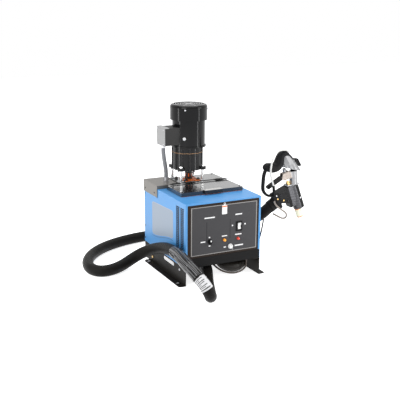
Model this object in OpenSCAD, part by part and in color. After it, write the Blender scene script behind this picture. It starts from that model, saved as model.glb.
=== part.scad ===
// Tank-type hot melt applicator: a heated tank and gear pump in a sheet-steel
// cabinet on two legs, a geared motor on four posts, and a heated hose with a hand gun.
// Millimetres, +Z up. The origin is on the floor, midway between the four floor bolts.

/* [Cabinet] */
// Width of the cabinet over its side sheets
cab_w = 400; // [360:1:460]
// Depth of the cabinet, front to rear
cab_d = 490; // [480:1:540]
// Height of the cabinet shell, from the legs up
cab_h = 311; // [300:1:340]
// Thickness of the cabinet sheets
sheet = 2; // [1.5:0.5:3]
// Width of the folded lips beside the front panel
front_lip = 10; // [8:1:20]
// Height of the front sill under the panel
sill_h = 44; // [35:1:60]
// Number of vent slots in one column
vent_rows = 24; // [16:1:25]
// Height step of the vent slots
vent_step = 8.6; // [8:0.1:9]

/* [Legs] */
// Clear height under the cabinet
leg_h = 86; // [82:1:120]
// Thickness of the leg plates
leg_t = 3; // [3:0.5:5]
// Width of the floor flange, beyond the cabinet side
flange_w = 33; // [28:1:45]
// Length of the floor flange
flange_l = 430; // [425:1:470]
// Front-to-rear distance of the floor bolts
bolt_pitch = 350; // [300:1:360]
// Distance of the front floor bolts from the cabinet front
bolt_inset = 50; // [40:1:60]
// Diameter of the floor bolt holes
bolt_d = 10; // [8:0.5:12]
// Length of the hand slot in each leg
leg_slot_l = 124; // [80:1:140]
// Height of the hand slot
leg_slot_h = 20; // [14:1:24]

/* [Tank and lid] */
// Width of the lid
lid_w = 332; // [320:1:340]
// Depth of the lid, from handle edge to hinge
lid_d = 170; // [165:1:172]
// Height of the folded lid pan
lid_h = 18; // [14:1:22]
// Thickness of the lid sheet
lid_t = 3; // [2:0.5:4]
// Width of the pellet chamber
tank_w = 284; // [250:1:286]
// Depth of the pellet chamber
tank_d = 140; // [110:1:141]
// Height of the tank
tank_h = 190; // [170:1:195]
// Wall of the tank casting
tank_wall = 8; // [6:1:9]
// Depth of the deck plate behind the lid
deck_d = 150; // [145:1:156]
// Diameter of the hinge pin
hinge_d = 5; // [4:0.5:6]
// Width of the lid handle
handle_w = 96; // [70:1:130]

/* [Motor and gearbox] */
// Distance of the motor axis from the cabinet front
axis_y = 387; // [384:1:392]
// Diameter of the motor frame
motor_d = 165; // [160:1:168]
// Diameter of the fan cowl
cowl_d = 187; // [184:1:192]
// Height of the motor frame above the gearbox
motor_h = 136; // [130:1:150]
// Height of the fan cowl
cowl_h = 76; // [72:1:90]
// Wall of the fan cowl
cowl_t = 2; // [1.5:0.5:3]
// Diameter of the motor shaft
shaft_d = 19; // [16:1:22]
// Height of the lower gearbox half
gear_low_h = 86; // [82:1:92]
// Height of the upper gearbox half
gear_top_h = 26; // [25:1:32]
// Outer diameter of the gearbox
gearbox_d = 150; // [148:1:154]
// Thickness of the gearbox gasket
gasket_t = 2; // [1:0.5:3]
// Half distance of the posts across the cabinet
post_x = 59; // [56:1:61]
// Half distance of the posts from front to rear
post_y = 53; // [50:1:55]
// Diameter of the posts
post_d = 14; // [10:1:16]
// Clear height of the posts under the gearbox
post_h = 58; // [56:1:66]
// Module of the gearbox teeth
gear_m = 1; // [1:0.01:1.05]
// Teeth of the pinions
pinion_z = 14; // [14:1:14]
// Teeth of the wheels
wheel_z = 56; // [56:1:56]
// Module of the pump gears
pump_m = 3; // [2.5:0.1:3.2]
// Teeth of each pump gear
pump_z = 12; // [12:1:12]

/* [Front panel] */
// Diameter of the selector knob
knob_d = 24; // [18:1:30]
// Diameter of the dial knob
dial_d = 24; // [18:1:30]
// Diameter of the pilot lamps
lamp_d = 12; // [9:1:16]
// Width of the power rocker
rocker_w = 18; // [14:1:22]
// Height of the power rocker
rocker_h = 36; // [30:1:40]

/* [Hose and gun] */
// Outer diameter of the heated hose
hose_d = 56; // [52:1:57]
// Diameter of the heater head of the gun
head_d = 58; // [54:1:62]
// Height of the heater head
head_h = 134; // [130:1:140]
// Half width of the gun body
gun_half = 25; // [22:1:26]
// Diameter of the air valve on the gun
valve_d = 41; // [36:1:44]
// Diameter of the valve needle
needle_d = 6; // [4:0.5:8]
// Diameter of the trigger pivot pin
pivot_d = 6; // [5:0.5:8]

/* [Hidden] */
$fn = 48;

fit = 0.3;              // seat clearance between neighbouring pieces
run = 0.05;             // radial clearance of a pin in its bore
front_y = -(bolt_inset + bolt_pitch / 2);
top_z = leg_h + cab_h;
half_w = cab_w / 2;
panel_z = leg_h + sill_h - 10;
panel_top = top_z - sheet - fit;
top_lip = 8;
panel_w = cab_w - 2 * sheet - 2 * fit;
panel_y = sheet;
deck_top = top_z + 2 + lid_h;
lid_x = 6;              // the lid sits a little to the right of the middle
box_x = -7;             // the gearbox casting and its posts sit to the left of the shaft
deck_x0 = -81;          // left end of the deck plate
lid_y = 130;
hinge_y = lid_y + lid_d + 1;
knuckle_d = 9;
knuckle_l = 40;
hinge_z = deck_top + knuckle_d / 2 + 0.5;
tank_y = lid_y + 15;
tank_z = top_z - sheet - tank_h;
well_y = hinge_y + 11;
well_d = 122;
well_w = 136;
well_x = -56;
gear_z = deck_top + post_h;
nose_z = gear_z - 14;
gasket_z = gear_z + gear_low_h;
motor_z = gasket_z + gasket_t + gear_top_h;
cowl_z = motor_z + motor_h;
gear_cd = gear_m * (pinion_z + wheel_z) / 2;
pump_cd = pump_m * pump_z;
pump_z0 = tank_z + tank_wall;
pump_gear_z = pump_z0 + 20;
pump_gear_h = 26;
pump_shaft_d = 16;
coupling_z = deck_top + 5;
gun_at = [518, 150, 269];
gun_tilt = 20.3;
hose_w = 87;            // height of the hose on the gun
spigot_d = 16;          // the hose end turns in the gun on this
gun_tail = -121;        // where the hose meets the gun
hose_lean = 12;         // the hose joint leans against the gun's body
valve_lean = 16;        // the air valve leans against the gun's head
valve_at = [-38, 141];  // low left corner of the valve's foot plate
valve_h = 72;           // height of the air valve on its foot plate
trigger_w = 195;        // height of the trigger pivot on the gun
nozzle_x = -10;         // the nozzle sits off the middle of the head

red = "firebrick";
blue = [0.33, 0.67, 0.93];
black = [0.09, 0.09, 0.1];
steel = [0.72, 0.73, 0.75];

// ---- helpers ----

// Moves children from the cabinet's own frame, with Y = 0 at its front, to the row frame
module placed() translate([0, front_y, 0]) children();

// Moves children from the motor axis frame to the row frame
module on_axis(z) translate([0, front_y + axis_y, z]) children();

// Moves children from the gun's own frame, with +Z up its head, to the row frame
module on_gun() placed() translate(gun_at) rotate([0, -gun_tilt, 0]) children();

// A point of the gun's own frame, in the cabinet's frame
function gun_point(u, v, w) = [
  gun_at[0] + u * cos(gun_tilt) - w * sin(gun_tilt),
  gun_at[1] + v,
  gun_at[2] + u * sin(gun_tilt) + w * cos(gun_tilt)
];

// Moves children to the hose joint of the gun, with +X into the gun's body
module at_tail() on_gun() translate([gun_tail, 0, hose_w]) rotate([0, -hose_lean, 0]) children();
function tail_point(x, y, z) = gun_point(
  gun_tail + x * cos(hose_lean) - z * sin(hose_lean), y,
  hose_w + x * sin(hose_lean) + z * cos(hose_lean));

// Moves children to the air valve, with +Z up the valve
module at_valve() on_gun() translate([valve_at[0], 0, valve_at[1]]) rotate([0, valve_lean, 0]) children();

// A prism across the gun, from an outline of its X and Z
module across(w) rotate([90, 0, 0]) linear_extrude(w, center = true) children();

// A box given by its low corner and its size
module block(at, size) translate(at) cube(size);

// A bar along X, Y or Z
module bar_x(at, d, l) translate(at) rotate([0, 90, 0]) cylinder(d = d, h = l);
module bar_y(at, d, l) translate(at) rotate([-90, 0, 0]) cylinder(d = d, h = l);

// A flat plate in the XZ plane, from an outline of X and Z, with its front at y
module upright(y, t) translate([0, y + t, 0]) rotate([90, 0, 0]) linear_extrude(t) children();

// A rectangle with round corners, made of exact arcs
module round_rect(size, r) {
  translate([r, 0]) square([size[0] - 2 * r, size[1]]);
  translate([0, r]) square([size[0], size[1] - 2 * r]);
  for (x = [r, size[0] - r], y = [r, size[1] - r]) translate([x, y]) circle(r);
}

// A ring of outer and inner diameter
module ring(od, id, h) linear_extrude(h) difference() { circle(d = od); circle(d = id); }

// Involute gear outline: base radius, then flank points from base to tip, both flanks
function inv_angle(r, rb) = r <= rb ? 0 : sqrt(r * r / (rb * rb) - 1) * 180 / PI - acos(rb / r);
function flank(m, z, r, slack) =
  let (rp = m * z / 2, rb = rp * cos(25))
  90 / z - slack * 90 / (PI * rp) + inv_angle(rp, rb) - inv_angle(r, rb);
module gear_2d(m, z, bore) {
  rp = m * z / 2;
  radii = [rp - 1.2 * m, rp - 0.4 * m, rp + 0.3 * m, rp + 0.92 * m];
  slack = 0.16 * m;
  difference() {
    polygon([
      for (i = [0:z - 1], s = [-1, 1], k = [0:3])
        let (r = s < 0 ? radii[k] : radii[3 - k], a = i * 360 / z + s * flank(m, z, r, slack))
        [r * cos(a), r * sin(a)]
    ]);
    if (bore > 0) circle(d = bore);
  }
}

// A tube along points: rings are carried from one point to the next without twisting
function unit(v) = v / norm(v);
function heading(p, i) = unit(p[min(i + 1, len(p) - 1)] - p[max(i - 1, 0)]);
function carried(n, t) = unit(n - (n * t) * t);
function ring_at(c, t, n, r, sides) = [
  for (k = [0:sides - 1]) let (a = (k + 0.5) * 360 / sides) c + r * (cos(a) * n + sin(a) * cross(t, n))
];
module tube(p, d, sides, up = [0, 0, 1]) {
  n = len(p);
  rings = [
    for (i = 0, v = carried(up, heading(p, 0)); i < n;
         i = i + 1, v = i < n ? carried(v, heading(p, i)) : v)
      ring_at(p[i], heading(p, i), v, d / 2, sides)
  ];
  last = (n - 1) * sides;
  polyhedron(
    points = [for (r = rings, q = r) q],
    faces = concat(
      [for (i = [0:n - 2], k = [0:sides - 1], h = [0, 1])
        let (a = i * sides + k, b = i * sides + (k + 1) % sides)
        h == 0 ? [a, b, b + sides] : [a, b + sides, a + sides]],
      [for (k = [1:sides - 2]) [0, k + 1, k]],
      [for (k = [1:sides - 2]) [last, last + k, last + k + 1]]
    )
  );
}

// ---- cords: points chosen by hand, in the cabinet's frame ----

outlet_z = 51;
hose_path = concat([
  [-50, 119.7, outlet_z], [-50, 92, outlet_z], [-60, 58, 50], [-84, 5, 44],
  [-134, -106, 31], [-157, -163, 28.5], [-181, -219, 29], [-200, -260, 44],
  [-214, -273, 70], [-227, -259, 97], [-240, -228, 122], [-252, -185, 148],
  [-258, -130, 162], [-252, -75, 168], [-238, 30, 164], [-230, 137, 150],
  [-232, 219, 130], [-251, 291, 103], [-285, 338, 74], [-341, 342, 46],
  [-402, 315, 32], [-462, 292, 28.5], [-516, 294, 28.5], [-541, 332, 28.5],
  [-542, 392, 28.5], [-522, 462, 28.5], [-414, 607, 28.5],
  [-219, 707, 28.5], [-14, 725, 28.5],
  [86, 700, 28.5], [175, 640, 38], [222, 545, 66], [236, 430, 108], [242, 325, 162],
  [258, 226, 205], [280, 184, 228], [307, 158, 257]
], [tail_point(-43, 0, 0), tail_point(-0.3, 0, 0)]);

lead_path = [
  [145, 34, 79.7], [145, 34, 62], [140, 30, 42], [118, 22, 28],
  [40, 20, 26], [7, 34, 38], [-12, 90, 57], [-12, 125.7, 58]
];

signal_path = concat([tail_point(-28, 36.9, -13.4), tail_point(-28, 46, -17)], [
  [353, 205, 261], [335, 195, 213], [318, 190, 139], [304, 204, 70],
  [291, 250, 18], [282, 320, 4.5], [268, 410, 4.5], [235, 510, 4.5],
  [165, 566, 36], [126, 540, 120], [120, 514, 150], [120, 502.3, 150]
]);

// Cables on the gun, in its own frame
gun_cable_path = [
  [-117.6, -31, 188], [-118, -32, 222], [-111, -33, 265], [-94, -32, 298],
  [-77, -31, 322], [-50, -28, 339], [-23, -20, 338], [21, -10, 317], [36, -9, 301]
];

gun_lead_path = [
  [-138.1, -31, 112.6], [-140.4, -31.4, 104], [-139.5, -37, 89], [-126, -39.5, 64],
  [-107, -38, 36], [-99, -36, 14], [-107, -34, 0], [-123, -31, 3],
  [-138, -27, 17], [-150, -20, 32], [-158, -14, 43]
];

// ---- cabinet ----

module vent_column(y0) {
  for (i = [0:vent_rows - 1])
    translate([0, y0, leg_h + 84 + i * vent_step])
      cube([3 * sheet, 38, 5], center = true);
}

module cabinet_shell() color(blue) placed() difference() {
  union() {
    for (s = [-1, 1]) {
      block([s > 0 ? half_w - sheet : -half_w, 0, leg_h], [sheet, cab_d, cab_h]);
      block([s > 0 ? half_w - front_lip : -half_w, 0, leg_h + sill_h],
        [front_lip, sheet, cab_h - sill_h]);
    }
    block([-half_w, 0, top_z - sheet], [cab_w, cab_d, sheet]);
    block([-half_w, 0, top_z - top_lip], [cab_w, sheet, top_lip]);
  }
  block([lid_x - tank_w / 2, tank_y, top_z - 3 * sheet], [tank_w, tank_d, 6 * sheet]);
  block([well_x + tank_wall, well_y + tank_wall, top_z - 3 * sheet],
    [well_w - 2 * tank_wall, well_d - 2 * tank_wall, 6 * sheet]);
  for (x = [-half_w + sheet / 2, half_w - sheet / 2], y = [39, 86]) translate([x, 0, 0]) vent_column(y);
}

lead_x = 145;
gland_x = 120;
mains_x = 60;
gland_z = leg_h + 64;
module base_tray() color(black) placed() {
  inner = half_w - sheet - fit;
  difference() {
    union() {
      block([-inner, sheet, leg_h], [2 * inner, cab_d - 3 * sheet, sheet]);
      block([-half_w + sheet + fit, 0, leg_h], [2 * inner, sheet, sill_h]);
      block([-inner, cab_d - 3 * sheet, leg_h], [2 * inner, sheet, sill_h]);
    }
    translate([lead_x, 34, leg_h - 1]) cylinder(d = 12.6, h = sheet + 2);
    block([-72, 140, leg_h - 1], [110, 90, sheet + 2]);
  }
}

// A leg: a web under the cabinet side, a flange turned in under the tray and one turned out
module leg(side) placed() mirror([side < 0 ? 1 : 0, 0, 0]) difference() {
  union() {
    block([half_w - leg_t, 0, 0], [leg_t, cab_d - 2, leg_h]);
    block([half_w - 34, 0, leg_h - leg_t], [34, cab_d - 2, leg_t]);
    linear_extrude(leg_t) polygon([
      [half_w - leg_t, 0], [half_w + flange_w - 8, 0], [half_w + flange_w, 8],
      [half_w + flange_w, flange_l - 12], [half_w + flange_w - 12, flange_l],
      [half_w - leg_t, flange_l]
    ]);
  }
  for (y = [bolt_inset, bolt_inset + bolt_pitch])
    translate([half_w + flange_w / 2 + 1.5, y, -1]) cylinder(d = bolt_d, h = leg_t + 2);
  translate([half_w - 4 * leg_t, bolt_inset + 80, leg_h - 28])
    rotate([90, 0, 90]) linear_extrude(8 * leg_t)
      round_rect([leg_slot_l, leg_slot_h], leg_slot_h / 2 - 0.01);
}
module left_leg() color(black) leg(-1);
module right_leg() color(black) leg(1);

// Positions on the panel: x from the middle, z from the floor
rocker_at = [84, leg_h + 175];
dial_at = [36, leg_h + 81];
knob_at = [-73, leg_h + 117];
amber_at = [4, leg_h + 116];
red_at = [78, leg_h + 114];
knob_shaft = 6;
rocker_pin = 3;
tag_at = [3, top_z - 16];

module front_panel() color([0.2, 0.2, 0.2]) placed() {
  upright(panel_y, sheet) difference() {
    translate([-panel_w / 2, panel_z]) square([panel_w, panel_top - panel_z]);
    translate([rocker_at[0] - rocker_w / 2 - 1, rocker_at[1] - rocker_h / 2 - 1])
      square([rocker_w + 2, rocker_h + 2]);
    for (p = [dial_at, knob_at]) translate(p) circle(d = knob_shaft + 2 * run);
    for (p = [amber_at, red_at]) translate(p) circle(d = lamp_d - 2 + 2 * fit);
  }
  bar_y([tag_at[0], panel_y - 3, tag_at[1]], 3, 4);
  bar_y([tag_at[0], panel_y - 4, tag_at[1]], 7, 1);
}

module rear_panel() color(blue) placed() {
  in_w = cab_w - 2 * sheet - 2 * fit;
  difference() {
    upright(cab_d - sheet, sheet) difference() {
      translate([-in_w / 2, leg_h]) square([in_w, cab_h - sheet - fit]);
      for (x = [-140:20:-40], i = [0:10]) translate([x, leg_h + 124 + 12 * i]) round_rect([14, 4], 1.9);
      translate([gland_x, gland_z]) circle(d = 12.6);
      translate([mains_x, gland_z]) circle(d = 16.6);
    }
  }
}

cover_x = -half_w - 3;
cover_w = deck_x0 - 2 - cover_x;
cover_l = 172;
cover_y = cab_d + 4 - cover_l;
cover_t = 1.5;
cover_drop = 42;
module rear_cover() color([0.62, 0.6, 0.57]) placed() difference() {
  union() {
    block([cover_x, cover_y, deck_top - 3 - cover_t], [cover_w, cover_l, cover_t]);
    block([cover_x, cover_y, top_z - cover_drop], [cover_t, cover_l, deck_top - 3 - top_z + cover_drop]);
    block([cover_x + cover_w - cover_t, cover_y, top_z], [cover_t, cover_l, deck_top - 3 - top_z]);
    block([cover_x, cover_y, top_z], [cover_w, cover_t, deck_top - 3 - top_z]);
    block([cover_x, cover_y + cover_l - cover_t, top_z], [cover_w, cover_t, deck_top - 3 - top_z]);
  }
  translate([conduit_foot[0], conduit_foot[1], top_z]) cylinder(d = 20.6, h = 40);
}

// A pan head, seated on the sheet that it holds
module screw(d) cylinder(d1 = 2 * d, d2 = 1.4 * d, h = 0.5 * d);
module cabinet_screws() color(steel) placed() {
  for (y = [33, cover_l - 22]) translate([cover_x, cover_y + y, top_z - 24]) rotate([0, -90, 0]) screw(4);
  for (s = [-1, 1], z = [leg_h + 21, leg_h + 86, top_z - 53])
    translate([s * half_w, cab_d - 8, z]) rotate([0, s * 90, 0]) screw(4);
  for (s = [-1, 1], y = [30, cab_d / 2, cab_d - 40])
    translate([s * (half_w - 22), y, leg_h + sheet]) screw(5);
}

// ---- tank, lid and deck ----

module hopper() color([0.35, 0.36, 0.38]) placed() difference() {
  union() {
    block([lid_x - tank_w / 2 - tank_wall, tank_y - tank_wall, tank_z],
      [tank_w + 2 * tank_wall, tank_d + 2 * tank_wall, tank_h]);
    block([well_x, tank_y + tank_d, tank_z],
      [well_w, well_y + well_d - tank_y - tank_d, tank_h]);
  }
  block([lid_x - tank_w / 2, tank_y, pump_z0], [tank_w, tank_d, tank_h]);
  block([well_x + tank_wall, well_y + tank_wall, pump_z0],
    [well_w - 2 * tank_wall, well_d - 2 * tank_wall, tank_h]);
  block([-30, tank_y + tank_d - 1, pump_z0], [60, well_y + tank_wall - tank_y - tank_d + 2, 16]);
  translate([0, axis_y, tank_z - 1]) cylinder(d = 14, h = tank_wall + 2);
}

seal_t = 2;
module silicone_seals() color([0.95, 0.55, 0.35]) placed() {
  translate([0, 0, top_z]) linear_extrude(seal_t - fit) difference() {
    translate([lid_x - lid_w / 2 + 4, lid_y + 3]) square([lid_w - 8, lid_d - 6]);
    translate([lid_x - tank_w / 2, tank_y]) square([tank_w, tank_d]);
  }
  translate([0, 0, deck_top]) linear_extrude(3) difference() {
    translate([-40, axis_y - 56]) square([80, 80]);
    translate([0, axis_y]) circle(d = pump_shaft_d + 6);
    for (p = clamp_at) translate([p[0] - 12, p[1] - 12]) square(24);
  }
}

// Spots of the hold-down clamps on the deck
clamp_at = [[-56, 415], [-34, 348], [37, 352]];

module deck_plate() color(black) placed() {
  x0 = deck_x0;
  w = lid_x + lid_w / 2 - x0;
  y0 = hinge_y + 1.5;
  difference() {
    block([x0, y0, top_z], [w, deck_d, deck_top - top_z]);
    block([x0 + 5, y0 + 5, top_z - 1], [w - 10, deck_d - 10, deck_top - top_z - 5]);
    translate([0, axis_y, top_z]) cylinder(d = pump_shaft_d + 4, h = 40);
    for (x = [-1, 1], y = [-1, 1])
      translate([box_x + x * post_x, axis_y + y * post_y, top_z])
        cylinder(d = post_d - 4 + 2 * run, h = 40);
  }
}

module deck_clamps() color(black) placed()
  for (p = clamp_at) translate([p[0], p[1], deck_top]) {
    cylinder(d = 18, h = 5);
    translate([0, 0, 5]) cylinder(d = 11, h = 7, $fn = 6);
    translate([-9, -5, 5]) cube([18, 10, 3]);
  }

lid_x0 = lid_x - lid_w / 2;
lid_x1 = lid_x + lid_w / 2;
hinge_at = [-46, 112];

// Pin of the lid hinge, with the leaves and knuckles that sit on the deck plate
module hinge_pin() color(black) placed() {
  bar_x([lid_x0 + 20, hinge_y, hinge_z], hinge_d, lid_w - 11);
  for (x = hinge_at) difference() {
    union() {
      bar_x([x, hinge_y, hinge_z], knuckle_d, knuckle_l / 2 - fit);
      block([x, hinge_y + 2, deck_top], [knuckle_l / 2 - fit, 22, 2.5]);
    }
    bar_x([x - 1, hinge_y, hinge_z], hinge_d - 0.02, knuckle_l);
  }
}

module lid() color(black) placed() {
  difference() {
    block([lid_x0, lid_y, top_z + seal_t], [lid_w, lid_d, lid_h]);
    block([lid_x0 + lid_t, lid_y + lid_t, top_z + seal_t - 1],
      [lid_w - 2 * lid_t, lid_d - 2 * lid_t, lid_h - lid_t + 1]);
  }
  for (x = hinge_at) difference() {
    union() {
      bar_x([x + knuckle_l / 2 + fit, hinge_y, hinge_z], knuckle_d, knuckle_l / 2 - fit);
      block([x + knuckle_l / 2 + fit, hinge_y - 24, deck_top], [knuckle_l / 2 - fit, 22, 2.5]);
    }
    bar_x([x, hinge_y, hinge_z], hinge_d + 2 * run, 2 * knuckle_l);
  }
}

module lid_handle() color(steel) placed() translate([lid_x - handle_w / 2, lid_y, 0]) {
  block([0, -14, deck_top - 12], [handle_w, 14, 12]);
  block([0, -14, deck_top], [handle_w, 26, 4]);
}

// ---- motor stand, gearbox and motor ----

module at_posts(z) for (x = [-1, 1], y = [-1, 1])
  on_axis(z) translate([box_x + x * post_x, y * post_y, 0]) children();

module motor_posts() color(steel) at_posts(0) {
  translate([0, 0, deck_top]) cylinder(d = post_d, h = post_h);
  translate([0, 0, top_z + lid_h - 4]) cylinder(d = post_d - 4, h = 8);
  translate([0, 0, gear_z]) cylinder(d = post_d - 4, h = 22);
  translate([0, 0, gear_z + 14]) cylinder(d = post_d + 4, h = 7, $fn = 6);
}

module gearbox_outline(grow) {
  translate([box_x, 0]) {
    circle(d = gearbox_d + grow);
    for (a = [15:30:345]) rotate(a) translate([gearbox_d / 2 - 1, 0]) circle(d = 12 + grow);
  }
}

cavity_d = 138;
module gearbox_lower() color(black) on_axis(gear_z) difference() {
  union() {
    linear_extrude(gear_low_h) gearbox_outline(0);
    for (x = [-1, 1], y = [-1, 1]) translate([box_x + x * post_x, y * post_y, 0]) {
      cylinder(d = 36, h = 14);
    }
    translate([0, 0, nose_z - gear_z]) cylinder(d1 = 46, d2 = 96, h = 14);
  }
  translate([box_x, 0, 12]) cylinder(d = cavity_d, h = gear_low_h);
  translate([0, 0, nose_z - gear_z - 1]) cylinder(d = 36 + 2 * run, h = 40);
  translate([0, -gear_cd, 5]) cylinder(d = 28 + 2 * run, h = 20);
  for (x = [-1, 1], y = [-1, 1]) translate([box_x + x * post_x, y * post_y, 0]) {
    translate([0, 0, -1]) cylinder(d = post_d - 4 + 2 * run, h = 40);
    translate([0, 0, 14]) cylinder(d = post_d + 9, h = 10);
  }
}

module gearbox_gasket() color([0.82, 0.66, 0.5]) on_axis(gasket_z) linear_extrude(gasket_t)
  difference() { gearbox_outline(1); translate([box_x, 0]) circle(d = cavity_d); }

module gearbox_upper() color(black) on_axis(gasket_z + gasket_t) difference() {
  linear_extrude(gear_top_h) gearbox_outline(0);
  translate([box_x, 0, -1]) cylinder(d = cavity_d, h = gear_top_h - 6);
  translate([0, 0, -1]) cylinder(d = 40 + 2 * run, h = 60);
  translate([0, -gear_cd, gear_top_h - 7]) cylinder(d = 24 + 2 * run, h = 5);
}

// Heights of the gear train, from the gearbox foot
out_gear_z = gear_z + 34;
out_gear_h = 16;
lay_gear_z = motor_z - 28;
lay_gear_h = 12;
low_bearing_z = gear_z + 6;

module bearing(od, id, h) { ring(od, od - 5, h); ring(id + 5, id + 2 * run, h); ring(od - 5, id + 5, 0.8 * h); }
module bearings() color(steel) {
  on_axis(nose_z) bearing(36, 20, 11);
  on_axis(gear_z + 1) bearing(36, 20, 10.9);
  on_axis(low_bearing_z) translate([0, -gear_cd, 0]) bearing(28, 10, 8);
  on_axis(motor_z - 7) translate([0, -gear_cd, 0]) bearing(24, 10, 5);
  on_axis(motor_z + 2) bearing(40, shaft_d, 10);
  on_axis(cowl_z - 4) bearing(40, shaft_d, 10);
}

module motor_frame() color(black) on_axis(motor_z) {
  difference() {
    union() {
      cylinder(d = motor_d, h = motor_h);
      cylinder(d = motor_d + 10, h = 8);
      cylinder(d = motor_d - 8, h = motor_h + 8);
      for (a = [54:90:324]) rotate(a) intersection() {
        block([motor_d / 2 - 6, -6, motor_h - 4], [20, 12, 12]);
        cylinder(d = cowl_d - 2 * cowl_t, h = motor_h + 20);
      }
      rotate(230.3) translate([motor_d / 2 - 3, 0, 46]) rotate([0, 90, 0]) cylinder(d = 20, h = 5);
    }
    translate([0, 0, 12]) cylinder(d = motor_d - 12, h = motor_h - 16);
    translate([0, 0, -1]) cylinder(d = 40 + 2 * run, h = motor_h + 20);
    block([-motor_d / 2 - 3, -24, 36], [16, 48, 38]);
  }
}

module stator() color([0.6, 0.4, 0.25]) on_axis(motor_z + 24) {
  ring(motor_d - 12 - 2 * fit, 96, 88);
  for (z = [-8, 88]) translate([0, 0, z]) ring(motor_d - 30, 104, 8);
}

module motor_cowl() color(black) on_axis(cowl_z) difference() {
  r = cowl_d / 2;
  e = 14;
  rotate_extrude() {
    difference() {
      union() {
        square([r - e, cowl_h]);
        square([r, cowl_h - e]);
        translate([r - e, cowl_h - e]) circle(e);
      }
      square([r - e - cowl_t, cowl_h - cowl_t]);
      square([r - cowl_t, cowl_h - e]);
      translate([r - e, cowl_h - e]) circle(e - cowl_t);
    }
  }
  translate([0, 0, cowl_h - cowl_t - 1]) linear_extrude(cowl_t + 2) difference() {
    for (q = [20:12:68]) difference() { circle(r = q + 7); circle(r = q); }
    for (a = [0:45:135]) rotate(a) square([2 * r, 6], center = true);
  }
}

motor_shaft_low = motor_z - 34;
module motor_rotor() color(steel) on_axis(motor_z) difference() {
  union() {
    translate([0, 0, 32]) cylinder(d = 94, h = 72);
    translate([0, 0, -2]) cylinder(d = shaft_d, h = motor_h + 58);
    translate([0, 0, motor_shaft_low - motor_z]) linear_extrude(20)
      rotate(180 / pinion_z) gear_2d(gear_m, pinion_z, 0);
    translate([0, 0, -14]) cylinder(d = gear_m * (pinion_z - 2.4), h = 13);
  }
}

module motor_fan() color([0.15, 0.15, 0.15]) on_axis(cowl_z + 24) difference() {
  union() {
    cylinder(d = 44, h = 30);
    cylinder(d = 110, h = 4);
    for (a = [0:360 / 7:359]) rotate(a) block([18, -1.5, 0], [62, 3, 32]);
  }
  translate([0, 0, -1]) cylinder(d = shaft_d - 0.02, h = 40);
}

module layshaft() color(steel) on_axis(0) translate([0, -gear_cd, 0]) {
  translate([0, 0, low_bearing_z - 0.5]) cylinder(d = 10, h = motor_z - 2.5 - low_bearing_z);
  translate([0, 0, lay_gear_z]) linear_extrude(lay_gear_h) rotate(90 + 180 / wheel_z)
    gear_2d(gear_m, wheel_z, 0);
  translate([0, 0, out_gear_z - 2]) linear_extrude(out_gear_h + 4) rotate(90)
    gear_2d(gear_m, pinion_z, 0);
}

module output_shaft() color(steel) on_axis(0) {
  translate([0, 0, coupling_z + 28]) cylinder(d = 20, h = out_gear_z + out_gear_h + 6 - coupling_z - 28);
  translate([0, 0, out_gear_z]) linear_extrude(out_gear_h) rotate(-90 + 180 / wheel_z)
    gear_2d(gear_m, wheel_z, 0);
}

module pump_shaft() color(steel) on_axis(0) {
  translate([0, 0, pump_z0 + 12.3]) cylinder(d = pump_shaft_d, h = coupling_z + 10 - pump_z0 - 12.3);
  translate([0, 0, pump_gear_z]) linear_extrude(pump_gear_h) gear_2d(pump_m, pump_z, 0);
}

hub_d = 38;
jaw_h = 16;
// A hub with three jaws that stand up from it
module hub(bore, base) {
  ring(hub_d, bore, base);
  translate([0, 0, base - 2]) linear_extrude(jaw_h + 2) difference() {
    circle(d = hub_d - 2);
    circle(d = 22);
    for (a = [60:120:300]) rotate(a) polygon([
      [0, 0], [50 * cos(41), -50 * sin(41)], [60, 0], [50 * cos(41), 50 * sin(41)]
    ]);
  }
}
coupling_turn = -25;
module coupling_hubs() color(black) on_axis(coupling_z) rotate(coupling_turn) {
  hub(pump_shaft_d, 10);
  translate([0, 0, 37]) rotate([180, 0, 0]) rotate(60) hub(20, 9);
}
module coupling_spider() color("orangered") on_axis(coupling_z + 10.3) rotate(coupling_turn) difference() {
  linear_extrude(jaw_h + 1.2) difference() {
    circle(d = hub_d - 3);
    for (a = [0:60:300]) rotate(a) polygon([
      [10.6 * cos(20.5), -10.6 * sin(20.5)], [30, -30 * tan(20.5)],
      [30, 30 * tan(20.5)], [10.6 * cos(20.5), 10.6 * sin(20.5)]]);
    circle(d = 12);
  }
}

// ---- junction box and conduit ----

jbox = [-150, axis_y - 45, motor_z + 16];
jbox_size = [82, 90, 86];
module junction_box() color([0.25, 0.25, 0.26]) placed() difference() {
  block(jbox, jbox_size);
  block(jbox + [-1, 3, 3], jbox_size + [-2, -6, -6]);
  translate([conduit_top[0], conduit_top[1], jbox[2] - 1]) cylinder(d = 20.6, h = 6);
  translate([0, axis_y, jbox[2] - 1]) cylinder(d = motor_d + 2 * fit, h = 100);
}
module junction_cover() color([0.6, 0.6, 0.6]) placed() {
  block(jbox + [-3, -3, -3], [3, jbox_size[1] + 6, jbox_size[2] + 6]);
  block(jbox + [-2, -3, jbox_size[2]], [24, jbox_size[1] + 6, 3]);
}

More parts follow.
